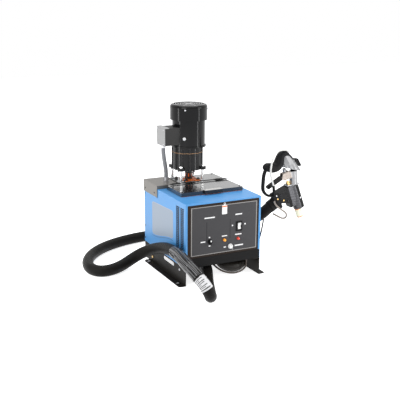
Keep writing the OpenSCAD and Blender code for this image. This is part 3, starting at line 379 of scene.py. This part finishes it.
side_plate("side_label_rim", 0, 0.25, label_rim)
side_plate("side_label_plate", 2.2, 0.4, label_stock)
side_plate("side_label_line", 0, 0.3, curve_blue, drop=9)
brass = finish("plain_brass", (0.78, 0.52, 0.2), 0.3, metal=1, mottle=0.1, grain=0.05)
leg_bolt_head = [(6.5, 0), (6.5, 3.5), (5.5, 4.6)]
for k, (y, z, mat) in enumerate(((386, 29, brass), (60, 66, grey_zinc), (430, 66, grey_zinc))):
    turned("leg_bolt_%d" % (k + 1), leg_bolt_head, on(cab(-200, y, z), (-1, 0, 0)), cabinet, mat, 6, False)
foot_washer_ring = [(9, 0), (9, 1.4), (8.6, 1.6), (5.2, 1.6), (5.2, 0.1)]
for k, (x, y) in enumerate(((-218, 50), (-218, 400), (218, 50), (218, 400))):
    turned("foot_washer_%d" % (k + 1), foot_washer_ring, on(cab(x, y, 3), (0, 0, 1)), cabinet, grey_zinc)


# ---------------------------------------------------------------------------
# Tank, lid and deck
# A cast aluminium hopper under a folded black lid with a bright grip, and a black deck plate behind it.
# Orange silicone seals the tank's rim and the pump shaft; the lid turns on a steel pin.
# ---------------------------------------------------------------------------
white_disc = finish("white_nylon_disc", (0.8, 0.79, 0.76), 0.35)
lid_top = 417
turned("lid_disc", [(8, 0), (8, 1.2), (7.2, 1.8), (2, 1.9)], on(cab(4, 241, lid_top), (0, 0, 1)), "lid", white_disc)
cast_grey = finish("cast_aluminium", (0.30, 0.30, 0.32), 0.5, metal=0.9, mottle=0.15, grain=0.5, scale=420)
lid_black = finish("satin_black_lid_paint", (0.012, 0.012, 0.0125), 0.24, grain=0.2, scale=650, coat=1.0)
silicone = finish("orange_silicone", (0.80, 0.17, 0.02), 0.5, mottle=0.08)
bright = finish("brushed_bright_steel", (0.68, 0.68, 0.69), 0.22, metal=1, mottle=0.06, grain=0.06,
                stretch=(1, 14, 14))
dress(cast_grey, "hopper", "outlet_manifold", "pump_body")
dress(lid_black, "lid", "deck_plate")
dress(silicone, "silicone_seals")
dress(bright, "valve_needle")
# The handle is black; its faces above grip_foot are bright steel, a painted highlight along its top edge
handle_painted_highlight = finish("black_handle_painted_top_highlight", (0.60, 0.59, 0.57), 0.25, metal=0.8, mottle=0.06, grain=0.06,
                      stretch=(1, 14, 14))
grip_foot = 0.4207
below_grip = sums(handle_painted_highlight, "LESS_THAN", solid_place(handle_painted_highlight)[2], grip_foot)
over_paint(handle_painted_highlight, below_grip, (0.01, 0.01, 0.01), 0.0)
dress(handle_painted_highlight, "lid_handle")
dress(finish("blackened_pin_steel", (0.05, 0.05, 0.05), 0.4, metal=1), "hinge_pin")
dress(finish("ground_steel", (0.6, 0.6, 0.62), 0.2, metal=1, grain=0.05, stretch=(1, 1, 9)),
      "pump_shaft", "output_shaft", "layshaft", "pump_driven_gear", "bearings", "motor_rotor")
dress(finish("gloss_black_clamp_paint", (0.015, 0.015, 0.015), 0.2, coat=0.5), "deck_clamps")
deck_screw_head = [(4.2, 0), (4.2, 1.2), (3.2, 2.4), (1.2, 2.6)]
for k, (x, y) in enumerate(((-150, 146), (162, 146), (162, 284), (-60, 315), (160, 440), (160, 318))):
    turned("deck_screw_%d" % (k + 1), deck_screw_head, on(cab(x, y, lid_top), (0, 0, 1)),
           "lid" if y < 300 else cabinet, dark_zinc, 16)


# ---------------------------------------------------------------------------
# Motor and gearbox
# Cast housings in gloss black over four bright posts: a ribbed two-part gearbox with a fibre gasket, the
# motor's frame and a pressed fan cowl. The coupling below has black hubs and an orange spider.
# ---------------------------------------------------------------------------
gloss_black = finish("gloss_black_enamel", (0.004, 0.004, 0.0045), 0.12, grain=0.06, scale=150, shine=0.2)
cast_black = finish("black_enamel_on_casting", (0.005, 0.005, 0.0055), 0.16, grain=0.2, scale=220, shine=0.22)
cowl_black = finish("gloss_black_cowl", (0.004, 0.004, 0.0045), 0.12, grain=0.06, scale=150, shine=0.2)
cowl_x, cowl_y, cowl_z = solid_place(cowl_black)
# A painted reflection on the grille's flat bars: the top face, within 80 mm of the motor's axis, is lighter and
# metallic
motor_axis_y, sheen_radius = 0.162, 0.080
top_face = float(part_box("motor_cowl")[1][2]) - 0.0012
across = sums(cowl_black, "POWER", sums(cowl_black, "SUBTRACT", cowl_y, motor_axis_y), 2.0)
from_axis = sums(cowl_black, "SQRT", sums(cowl_black, "ADD", sums(cowl_black, "POWER", cowl_x, 2.0), across))
grille_sheen_mask = sums(cowl_black, "MULTIPLY", sums(cowl_black, "LESS_THAN", from_axis, sheen_radius),
              sums(cowl_black, "GREATER_THAN", cowl_z, top_face))
over_paint(cowl_black, grille_sheen_mask, (0.13, 0.13, 0.135), 0.8)
dress(gloss_black, "motor_frame")
dress(cowl_black, "motor_cowl")
dress(cast_black, "gearbox_lower", "gearbox_upper")
dress(finish("fibre_gasket", (0.42, 0.24, 0.12), 0.8, mottle=0.15), "gearbox_gasket")
dress(finish("turned_post_steel", (0.82, 0.82, 0.82), 0.16, metal=0.85, grain=0.04, stretch=(1, 1, 12)),
      "motor_posts")
dress(finish("varnished_laminations", (0.22, 0.12, 0.06), 0.5, grain=0.3, stretch=(1, 1, 20)), "stator")
dress(finish("moulded_fan_plastic", (0.04, 0.04, 0.04), 0.5), "motor_fan")
dress(finish("blackened_coupling_iron", (0.03, 0.028, 0.027), 0.35, metal=0.6, grain=0.2), "coupling_hubs")
dress(finish("orange_polyurethane", (0.86, 0.14, 0.012), 0.35, mottle=0.06), "coupling_spider")


def around_motor(angle, radius, z):
    """A point on a circle about the motor's axis, and the direction that looks out from it."""
    a = np.radians(angle)
    return cab(radius * np.cos(a), 387 + radius * np.sin(a), z), (np.cos(a), np.sin(a), 0)


turned("frame_plug", [(8.2, 0), (8.2, 3), (6.8, 4.4), (3, 4.8)], on(*around_motor(230.3, 84.3, 637)), cabinet,
       finish("light_grey_plug", (0.7, 0.7, 0.7), 0.3), 24)
for k in range(4):
    turned("cowl_screw_%d" % (k + 1), [(4.4, 0), (4.4, 1.6), (3.2, 3), (1, 3.2)],
           on(*around_motor(54 + 90 * k, 93.3, 779)), cabinet, grey_zinc, 16)
for k in range(6):
    a = np.radians(30 + 60 * k)
    flange_spot = cab(-7 + 79 * np.cos(a), 387 + 79 * np.sin(a), 475)
    turned("gearbox_bolt_%d" % (k + 1), [(5, 0), (5, 5), (4.2, 5.8)], on(flange_spot, (0, 0, -1)), cabinet, dark_zinc,
           6, False)
for k, (x, y) in enumerate(((-66, 334), (52, 334), (-66, 440), (52, 440))):
    turned("post_washer_%d" % (k + 1), [(12, 0), (12, 1.8), (11, 2.4), (7.2, 2.4)],
           on(cab(x, y, lid_top), (0, 0, 1)), cabinet, grey_zinc)


# ---------------------------------------------------------------------------
# Junction box and conduit
# A folded steel box on the motor's side with a grey cover, and a ribbed grey conduit that runs down to a
# plated elbow nut on the rear cover. Two screws hold the cover.
# ---------------------------------------------------------------------------
dress(finish("grey_box_cover", (0.33, 0.33, 0.33), 0.4, metal=0.3, grain=0.15, stretch=(1, 1, 5)), "junction_cover")
dress(finish("dark_box_paint", (0.038, 0.037, 0.036), 0.45, grain=0.2, shine=0.15), "junction_box")
dress(grey_zinc, "conduit_fittings")


def smooth_line(points, step):
    """Natural cubic spline through the points, by chord length: the second derivatives solve one
    linear system, and the line is then read at even steps."""
    p = np.array(points, float)
    h = np.linalg.norm(np.diff(p, axis=0), axis=1)
    t = np.concatenate(([0], np.cumsum(h)))
    n = len(p)
    a = np.eye(n)
    inner = np.arange(1, n - 1)
    a[inner, inner - 1], a[inner, inner], a[inner, inner + 1] = h[:-1], 2 * (h[:-1] + h[1:]), h[1:]
    slope = np.diff(p, axis=0) / h[:, None]
    b = np.zeros_like(p)
    b[1:-1] = 6 * np.diff(slope, axis=0)
    m = np.linalg.solve(a, b)
    s = np.linspace(0, t[-1], max(2, int(round(t[-1] / step)) + 1))
    k = np.clip(np.searchsorted(t, s, side="right") - 1, 0, n - 2)
    u, hk = (s - t[k])[:, None], h[k][:, None]
    v = hk - u
    return (m[k] * v ** 3 + m[k + 1] * u ** 3) / (6 * hk) + (p[k] / hk - m[k] * hk / 6) * v \
        + (p[k + 1] / hk - m[k + 1] * hk / 6) * u


def rings_along(line, radius, around, lean):
    """Circles of the given radius, one at each point of line, square to it. Each starts from the part
    of lean that is square to the line."""
    t = np.gradient(line, axis=0)
    t /= np.linalg.norm(t, axis=1)[:, None]
    lean = np.asarray(lean, float)
    n = lean - (t @ lean)[:, None] * t
    n /= np.linalg.norm(n, axis=1)[:, None]
    b = np.cross(t, n)
    angle = np.linspace(0, 2 * np.pi, around, endpoint=False)
    if np.ndim(radius):
        radius = np.asarray(radius, float).reshape(-1, 1, 1)
    outward = np.cos(angle)[None, :, None] * n[:, None] + np.sin(angle)[None, :, None] * b[:, None]
    return line[:, None] + radius * outward


conduit_line = smooth_line([cab(-139, 388, 589), cab(-139, 388, 578), cab(-135, 391, 544), cab(-127, 398, 512),
                            cab(-119, 405, 478), cab(-115, 408, 446), cab(-115, 408, 434)], 0.0009)
ribs = 0.0098 + 0.0007 * np.cos(np.arange(len(conduit_line)) * 2 * np.pi / 5)
conduit = solid("ribbed_conduit", rings_along(conduit_line, ribs, 22, (0, 1, 0)), cabinet,
                finish("grey_conduit_plastic", (0.20, 0.205, 0.22), 0.4, mottle=0.04))
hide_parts("conduit")
for k, (y, z) in enumerate(((352, 683), (422, 683), (352, 612), (422, 612))):
    turned("box_screw_%d" % (k + 1), [(3.6, 0), (3.6, 1), (2.6, 2.2)], on(cab(-153, y, z), (-1, 0, 0)), cabinet,
           grey_zinc, 16)


# ---------------------------------------------------------------------------
# Front controls
# A rocker switch in a black bezel, a selector with a white pointer, a white dial, two pilot lamps and a
# hang tag on a peg. Each is clipped or nutted into the panel.
# ---------------------------------------------------------------------------
soft_black = finish("matt_black_plastic", (0.009, 0.009, 0.0095), 0.5, grain=0.15, scale=500, shine=0.1)
gloss_white = finish("gloss_white_plastic", (0.82, 0.82, 0.81), 0.22, mottle=0.02)
dress(soft_black, "switch_bezel", "selector_knob", "cable_glands")
dress(gloss_white, "power_rocker", "dial_knob")
dress(finish("hang_tag_card", (0.86, 0.86, 0.85), 0.6, mottle=0.03), "hang_tag")
dress(finish("glass_fibre_board", (0.03, 0.16, 0.08), 0.4), "control_board")
amber, red = (0.95, 0.34, 0.01), (0.80, 0.05, 0.012)
amber_lens = finish("amber_lens", amber, 0.15, mottle=0.03, coat=0.6)
red_lens = finish("red_lens", red, 0.15, mottle=0.03, coat=0.6)
amber_shader = amber_lens.node_tree.nodes["Principled BSDF"]
amber_shader.inputs["Emission Color"].default_value = (1, 0.45, 0.0, 1)
amber_shader.inputs["Emission Strength"].default_value = 0.35
lamp_pair = finish("lamp_lens_plastic", amber, 0.15, mottle=0.03, coat=0.6)
between_lamps = 0.041
red_side = sums(lamp_pair, "GREATER_THAN", solid_place(lamp_pair)[0], between_lamps)
over_paint(lamp_pair, red_side, red)
dress(lamp_pair, "pilot_lamps")
forward = (0, -1, 0)
dome = [(6, 0), (6, 2), (5.2, 3.6), (3.6, 4.8), (1.4, 5.4)]
turned("amber_dome", dome, on(cab(4, -5, 202), forward), cabinet, amber_lens, 24)
turned("red_dome", dome, on(cab(78, -5, 200), forward), cabinet, red_lens, 24)
pointer_white = finish("white_pointer_paint", (0.8, 0.8, 0.8), 0.4)
slabs("selector_pointer", [((-76, -13.4, 205), (-70, -12.9, 213))], "selector_knob", pointer_white)
slabs("dial_mark", [((35.2, -10.3, 171), (36.8, -9.95, 178))], "dial_knob", soft_black)
slabs("tag_orange_stripe", [((-10.5, -0.15, 364.6), (16.5, 0.18, 369.5))], "hang_tag", silicone)
turned("panel_hook", [(2.4, 0), (2.4, 2), (1.2, 2.6)], on(cab(3, -1.8, 381), forward), cabinet, grey_zinc, 16)


# ---------------------------------------------------------------------------
# Heated hose
# A core tube, heater and insulation in one braided black cover, 56 mm over all and 3 m long.
# It leaves the outlet under the cabinet, doubles back on the floor, loops round the left side and
# behind the cabinet, and climbs to the gun. It is stiff enough to stand in an arch.
# ---------------------------------------------------------------------------
def cover_place(mat):
    """Turns round the skin and metres along it, as sockets, from the skin's UV map."""
    n = mat.node_tree.nodes
    cover, parts = n.new("ShaderNodeUVMap"), n.new("ShaderNodeSeparateXYZ")
    cover.uv_map = "cover"
    mat.node_tree.links.new(cover.outputs[0], parts.inputs[0])
    return parts.outputs[0], parts.outputs[1]


def braided(name, colour, threads, pitch, rough, shine):
    """A braided cover from the skin's UV map: two crossing waves, threads round and one turn of each
    wave per pitch metres along, multiplied into a height that also lightens the raised threads, as painted light on
    the threads and painted shade in the hollows between them."""
    mat = finish(name, colour, rough, grain=0.1, shine=shine)
    n, l = mat.node_tree.nodes, mat.node_tree.links
    turn, metres = cover_place(mat)
    round_it = sums(mat, "MULTIPLY", turn, threads * 2 * np.pi)
    along = sums(mat, "MULTIPLY", metres, 2 * np.pi / pitch)
    height = sums(mat, "MULTIPLY", sums(mat, "SINE", sums(mat, "ADD", round_it, along)),
                  sums(mat, "SINE", sums(mat, "SUBTRACT", round_it, along)))
    bump = n.new("ShaderNodeBump")
    bump.inputs["Strength"].default_value = 0.5
    bump.inputs["Distance"].default_value = 0.0005
    l.new(height, bump.inputs["Height"])
    l.new(bump.outputs[0], n["Principled BSDF"].inputs["Normal"])
    thread_shading = n.new("ShaderNodeMix")
    thread_shading.data_type = "RGBA"
    thread_shading.inputs["B"].default_value = (*[3.2 * c for c in colour], 1)
    l.new([m for m in n if m.type == "MIX"][0].outputs["Result"], thread_shading.inputs["A"])
    l.new(sums(mat, "MULTIPLY", sums(mat, "ADD", height, 1.0), 0.25), thread_shading.inputs["Factor"])
    l.new(thread_shading.outputs["Result"], n["Principled BSDF"].inputs["Base Color"])
    return mat


hose_cover = braided("braided_hose_cover", (0.005, 0.0046, 0.0042), 36, 0.009, 0.42, 0.08)
hose_radius = 0.028
hose_points = [(-0.05, -0.1053, 0.051), (-0.05, -0.133, 0.051), (-0.06, -0.167, 0.05), (-0.084, -0.22, 0.044),
               (-0.134, -0.331, 0.031), (-0.157, -0.388, 0.0285), (-0.181, -0.444, 0.029),
               (-0.2, -0.485, 0.044), (-0.214, -0.498, 0.07), (-0.227, -0.484, 0.097), (-0.24, -0.453, 0.122),
               (-0.252, -0.41, 0.148), (-0.258, -0.355, 0.162), (-0.252, -0.3, 0.168),
               (-0.238, -0.195, 0.164), (-0.23, -0.088, 0.15), (-0.232, -0.006, 0.13), (-0.251, 0.066, 0.103),
               (-0.285, 0.113, 0.074), (-0.341, 0.117, 0.046), (-0.402, 0.09, 0.032), (-0.462, 0.067, 0.0285),
               (-0.516, 0.069, 0.0285), (-0.541, 0.107, 0.0285), (-0.542, 0.167, 0.0285),
               (-0.522, 0.237, 0.0285), (-0.414, 0.382, 0.0285), (-0.219, 0.482, 0.0285),
               (-0.014, 0.5, 0.0285), (0.086, 0.475, 0.0285), (0.175, 0.415, 0.038), (0.222, 0.32, 0.066),
               (0.236, 0.205, 0.108), (0.242, 0.1, 0.162), (0.258, 0.001, 0.205), (0.28, -0.041, 0.228),
               (0.307, -0.067, 0.257), (0.338, -0.075, 0.2856), (0.3741, -0.075, 0.3085)]
hose_line = smooth_line(hose_points, 0.006)
# The stiff cover rounds off the sharpest turns: each point moves to the mean of itself and its neighbours
for _ in range(26):
    hose_line[1:-1] = (hose_line[:-2] + 2 * hose_line[1:-1] + hose_line[2:]) / 4
hose = solid("heated_hose", rings_along(hose_line, hose_radius, 40, (0, 0, 1)), cabinet, hose_cover)
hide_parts("hose")
reach = np.concatenate(([0], np.cumsum(np.linalg.norm(np.diff(hose_line, axis=0), axis=1))))


def hose_band(name, start, end, extra, mat, creases=0.0):
    """A thin wrap on the hose from start to end metres along it, standing extra above the cover, with
    shallow lengthwise creases: eleven and seventeen waves round, added."""
    line = hose_line[(reach >= start) & (reach <= end)]
    rows = rings_along(line, hose_radius + extra, 72, (0, 0, 1))
    if creases:
        a = np.linspace(0, 2 * np.pi, 72, endpoint=False)[None, :]
        s = np.linspace(0, end - start, len(line))[:, None]
        wave = creases * (np.sin(11 * a + 40 * s) + np.sin(17 * a - 55 * s)) / 2
        rows = line[:, None] + (rows - line[:, None]) * (1 + wave / hose_radius)[..., None]
    return solid(name, rows, cabinet, mat)


film = finish("clear_black_film", (0.006, 0.006, 0.006), 0.12, grain=0.5, scale=120, shine=0.25)
film_turn, film_metres = cover_place(film)
# Painted highlights on the film's creases: three sets of fine light-grey lines that run along the hose
for turns, slant, edge in ((9, 2.0, 0.93), (14, -3.0, 0.92), (6, 0.8, 0.95)):
    run = sums(film, "ADD", sums(film, "MULTIPLY", film_turn, turns * 2 * np.pi),
               sums(film, "MULTIPLY", film_metres, slant * 2 * np.pi))
    crease_highlight = sums(film, "GREATER_THAN", sums(film, "SINE", run), edge)
    over_paint(film, sums(film, "MULTIPLY", crease_highlight, 0.42), (0.36, 0.36, 0.37))
film_start, film_end, label_start, label_end = 0.518, 0.800, 0.452, 0.516
film_wrap = hose_band("film_wrap", film_start, film_end, 0.0007, film, 0.0006)
label_white = finish("ruled_white_label", (0.66, 0.66, 0.67), 0.35, mottle=0.03)
# Its ruled lines each start some metres along, with a width in metres and half a spread in turns
for start, width, spread in (
        (0.006, 0.0035, 0.46), (0.0135, 0.002, 0.36), (0.0185, 0.0028, 0.44), (0.025, 0.002, 0.30),
        (0.030, 0.0028, 0.42), (0.0365, 0.0035, 0.46), (0.044, 0.002, 0.34), (0.049, 0.003, 0.44),
        (0.056, 0.0025, 0.40)):
    ruled = inside(label_white, cover_place(label_white), 0.5 - spread, 0.5 + spread, start, start + width)
    over_paint(label_white, ruled, (0.03, 0.03, 0.03))
hose_label = hose_band("hose_label", label_start, label_end, 0.0006, label_white)
rubber = finish("moulded_black_rubber", (0.010, 0.0095, 0.009), 0.5, grain=0.2, shine=0.1)
dress(rubber, "hose_cuffs")

cable_black = finish("black_cable_sheath", (0.005, 0.005, 0.0055), 0.5, grain=0.05, shine=0.05)
lead_points = [(0.145, -0.191, 0.0797), (0.145, -0.191, 0.062), (0.14, -0.195, 0.042), (0.118, -0.203, 0.028),
               (0.04, -0.205, 0.026), (0.007, -0.191, 0.038), (-0.012, -0.135, 0.057),
               (-0.012, -0.0993, 0.058)]
lead_line = smooth_line(lead_points, 0.004)
lead = solid("hose_supply_lead", rings_along(lead_line, 0.0045, 16, (1, 0.2, 0.1)), cabinet,
             finish("brown_black_sheath", (0.05, 0.035, 0.028), 0.4))
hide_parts("hose_lead")

# The tray's wiring hangs out of it in one slack braided sleeve, clamped at both ends
sleeve_line = smooth_line([
    (0.03, -0.10, 0.0875), (0.033, -0.112, 0.062), (0.055, -0.14, 0.042), (0.095, -0.155, 0.035),
    (0.14, -0.146, 0.043), (0.165, -0.13, 0.062), (0.17, -0.125, 0.0875)], 0.004)
fullness = 0.010 + 0.018 * np.sin(np.pi * np.linspace(0, 1, len(sleeve_line))) ** 0.7
solid("tray_wiring_sleeve", rings_along(sleeve_line, fullness, 24, (1, 0.2, 0.1)), cabinet,
      braided("braided_wiring_sleeve", (0.010, 0.008, 0.006), 20, 0.008, 0.4, 0.3))

signal_points = [(0.3579, -0.0381, 0.2824), (0.3598, -0.029, 0.2794), (0.353, -0.02, 0.261),
                 (0.335, -0.03, 0.213), (0.318, -0.035, 0.139), (0.304, -0.021, 0.07), (0.291, 0.025, 0.018),
                 (0.282, 0.095, 0.005), (0.268, 0.185, 0.005), (0.235, 0.285, 0.005), (0.165, 0.341, 0.036),
                 (0.126, 0.315, 0.12), (0.12, 0.289, 0.15), (0.12, 0.2773, 0.15)]
signal_line = smooth_line(signal_points, 0.005)
signal = solid("gun_signal_cable", rings_along(signal_line, 0.0035, 16, (1, 0.25, 0.1)), cabinet, cable_black)
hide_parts("signal_cable")


# ---------------------------------------------------------------------------
# Hand gun
# An anodised head and body with a cream nozzle, a bright air valve under a grey film sleeve, a rubber
# grip with its guard, and a trigger between two fawn cheeks. Screws hold the body's side plate.
# ---------------------------------------------------------------------------
gun_x, gun_z, tilt = 518, 269, np.radians(20.3)
gun_turn = np.array([[np.cos(tilt), 0, np.sin(tilt)], [0, 1, 0], [-np.sin(tilt), 0, np.cos(tilt)]])


def gun(p):
    """Points of the gun's own millimetres, +Z up its head, in the shared frame."""
    return cab(gun_x, 150, gun_z) + np.asarray(p, float) @ gun_turn / 1000


def gun_place(mat):
    """The gun's own forward and upward metres of the shaded point, as sockets: x and z turned by tilt."""
    x, _, z = solid_place(mat)
    x, z = sums(mat, "SUBTRACT", x, gun_x / 1000), sums(mat, "SUBTRACT", z, gun_z / 1000)
    c, s = np.cos(tilt), np.sin(tilt)
    return (sums(mat, "ADD", sums(mat, "MULTIPLY", x, c), sums(mat, "MULTIPLY", z, s)),
            sums(mat, "SUBTRACT", sums(mat, "MULTIPLY", z, c), sums(mat, "MULTIPLY", x, s)))


dress(soft_black, "gun_rear_block")
valve_metal = finish("satin_valve_aluminium", (0.27, 0.27, 0.275), 0.3, metal=0.8, mottle=0.1, grain=0.06)
cheeks = inside(valve_metal, gun_place(valve_metal), -0.060, 0.0035, 0.166, 0.2135)
over_paint(valve_metal, cheeks, (0.34, 0.29, 0.255), 0.2)
dress(valve_metal, "gun_valve")
dress(brass, "air_fitting")
# The head's turned part, from 40 mm behind to 2 mm ahead of the gun's axis, is painted lighter and metallic: a
# painted highlight on the head; the milled block stays black
anodised = finish("black_anodised_aluminium", (0.006, 0.006, 0.0065), 0.27, grain=0.08, shine=0.1, stretch=(1, 1, 8))
ahead = gun_place(anodised)[0]
over_paint(anodised, inside(anodised, (ahead, ahead), -0.040, 0.002, -0.040, 0.002), (0.07, 0.07, 0.075), 0.7)
dress(anodised, "gun_body")
dress(finish("cream_ceramic_nozzle", (0.98, 0.93, 0.70), 0.5, mottle=0.05), "nozzle")
dress(finish("black_lever_plastic", (0.006, 0.006, 0.006), 0.35, grain=0.15, shine=0.1), "trigger_lever")

grip_rubber = finish("black_grip_rubber", (0.009, 0.009, 0.0095), 0.45, grain=0.45, scale=500, shine=0.1)
grip_line = smooth_line(gun([(-131, 0, 282), (-113, 0, 282), (-80, 0, 264), (-50, 0, 264), (-29, 0, 285),
                             (-13, 0, 302), (6, 0, 302), (19, 0, 289), (31, 0, 266), (36, 0, 246)]), 0.002)
along = np.linspace(0, 1, len(grip_line))
girth = np.interp(along, (0, 0.02, 0.05, 0.10, 0.22, 0.34, 0.48, 0.62, 0.72, 0.82, 0.93, 1),
                  (3, 11, 17, 21.8, 24.5, 25.8, 25.8, 21, 18.2, 12.5, 12.5, 12)) / 1000
grip = solid("rubber_grip", rings_along(grip_line, girth, 40, (0, 1, 0)), "gun", grip_rubber)
guard_line = smooth_line(gun([(-118, 0, 272), (-132, 0, 257), (-154, 0, 214), (-165.5, 0, 178), (-157, 0, 150),
                              (-137, 0, 133.5), (-117, 0, 136)]), 0.002)
slim = np.interp(np.linspace(0, 1, len(guard_line)), (0, 0.55, 0.75, 1), (9.3, 9.3, 6.8, 6.8)) / 1000
guard = solid("hand_guard", rings_along(guard_line, slim, 28, (0, 1, 0)), "gun", grip_rubber)
lean = np.radians(16)
stalk_at = gun([-38 + 46.5 * np.cos(lean) + 72.2 * np.sin(lean), 0, 141 - 46.5 * np.sin(lean) + 72.2 * np.cos(lean)])
stalk_up = np.array([-np.sin(np.radians(4.3)), 0, np.cos(np.radians(4.3))])
stalk = turned("grip_stalk", [(13, 0), (13, 48)], on(stalk_at, stalk_up), "gun", grip_rubber)
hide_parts("gun_handle")
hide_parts("gun_handle")
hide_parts("gun_handle")

# The sleeve is a flared bag of grey film: it opens from under the arch to a slanted hem with ten folds
turn_round = np.linspace(0, 2 * np.pi, 120, endpoint=False)
down = np.linspace(0, 1, 46)[:, None]
flare = down ** 0.38
fold = 1 + 0.075 * down * np.sin(10 * turn_round + 1.3 * np.sin(2 * turn_round)) - 0.075 * down
mid_u, half_u, half_v = 2 + 18 * down, 6 + 41 * flare, 4 + 28 * flare
sleeve_w = 306 - 94 * down - (4 + 26 * down) * np.cos(turn_round)
outer = np.stack([mid_u + half_u * fold * np.cos(turn_round), half_v * fold * np.sin(turn_round), sleeve_w], axis=-1)
middle = np.stack([mid_u + 0 * turn_round, 0 * sleeve_w, sleeve_w], axis=-1)
lining = middle + (outer - middle) * 0.965
sleeve_film = finish("grey_sleeve_film", (0.27, 0.27, 0.275), 0.25, mottle=0.7, grain=0.5, scale=2600, coat=0.5,
                     stretch=(1, 1, 0.1))
sleeve = solid("film_sleeve", gun(np.concatenate([outer, lining[::-1]])), "gun", sleeve_film)
plug_edge = np.array([(51, 257), (69, 247.5), (77, 205), (63, 207)])
plug = solid("side_plug", gun(np.stack([np.insert(plug_edge, 1, v, axis=1) for v in (9, 8.9, -8.9, -9)])), "gun",
             soft_black, smooth=False)
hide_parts("gun_cover")
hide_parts("gun_cover")

white_sheath = finish("white_cable_sheath", (0.72, 0.71, 0.68), 0.4, mottle=0.03)
gun_cable_points = gun([(-117.6, -31, 188), (-118, -32, 222), (-111, -33, 265), (-94, -32, 298), (-77, -31, 322),
                        (-50, -28, 339), (-23, -20, 338), (21, -10, 317), (36, -9, 301)])
gun_cable_line = smooth_line(gun_cable_points, 0.003)
gun_cable = solid("white_gun_cable", rings_along(gun_cable_line, 0.0045, 16, (0, 1, 0.01)), "gun", white_sheath)
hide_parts("gun_cable")
gun_lead_points = gun([(-138.1, -31, 112.6), (-140.4, -31.4, 104), (-139.5, -37, 89), (-126, -39.5, 64),
                       (-107, -38, 36), (-99, -36, 14), (-107, -34, 0), (-123, -31, 3), (-138, -27, 17),
                       (-150, -20, 32), (-158, -14, 43)])
gun_lead_line = smooth_line(gun_lead_points, 0.003)
gun_lead = solid("fawn_gun_lead", rings_along(gun_lead_line, 0.0045, 16, (0, 1, 0.01)), "gun",
                 finish("fawn_lead_sheath", (0.27, 0.23, 0.20), 0.4))
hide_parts("gun_lead")

pan = [(4.6, 0), (4.6, 1.4), (3.4, 3), (1.2, 3.3)]
for k, (u, w, face, mat) in enumerate(((-116, 127, -24, grey_zinc), (-115, 108, -24, brass), (-85, 86, -25, brass),
                                       (-92, 120, -25, dark_zinc), (-62, 72, -25, dark_zinc))):
    turned("body_screw_%d" % (k + 1), pan, on(gun((u, face, w)), forward), "gun", mat, 16)
turned("head_screw", pan, on(gun((9, -27.6, 57)), gun((9, -30, 57)) - gun((6, 0, 57))), "gun", grey_zinc, 16)
copper = finish("copper_nut", (0.70, 0.30, 0.14), 0.35, metal=1)


def nozzle_place(p):
    """Points about the nozzle's axis, 10 mm behind the gun's own, in the shared frame."""
    return gun(np.asarray(p) + (-10, 0, 0))


turned("nozzle_nut", [(17, -8.2), (18.6, -6.2), (18.6, -0.4)], nozzle_place, "gun", copper, 6, False)
turned("nozzle_ring", [(15.4, -52.4), (17.4, -51), (17.4, -46.5), (15.4, -45)], nozzle_place, "gun",
       finish("orange_nozzle_ring", (0.85, 0.24, 0.06), 0.4))
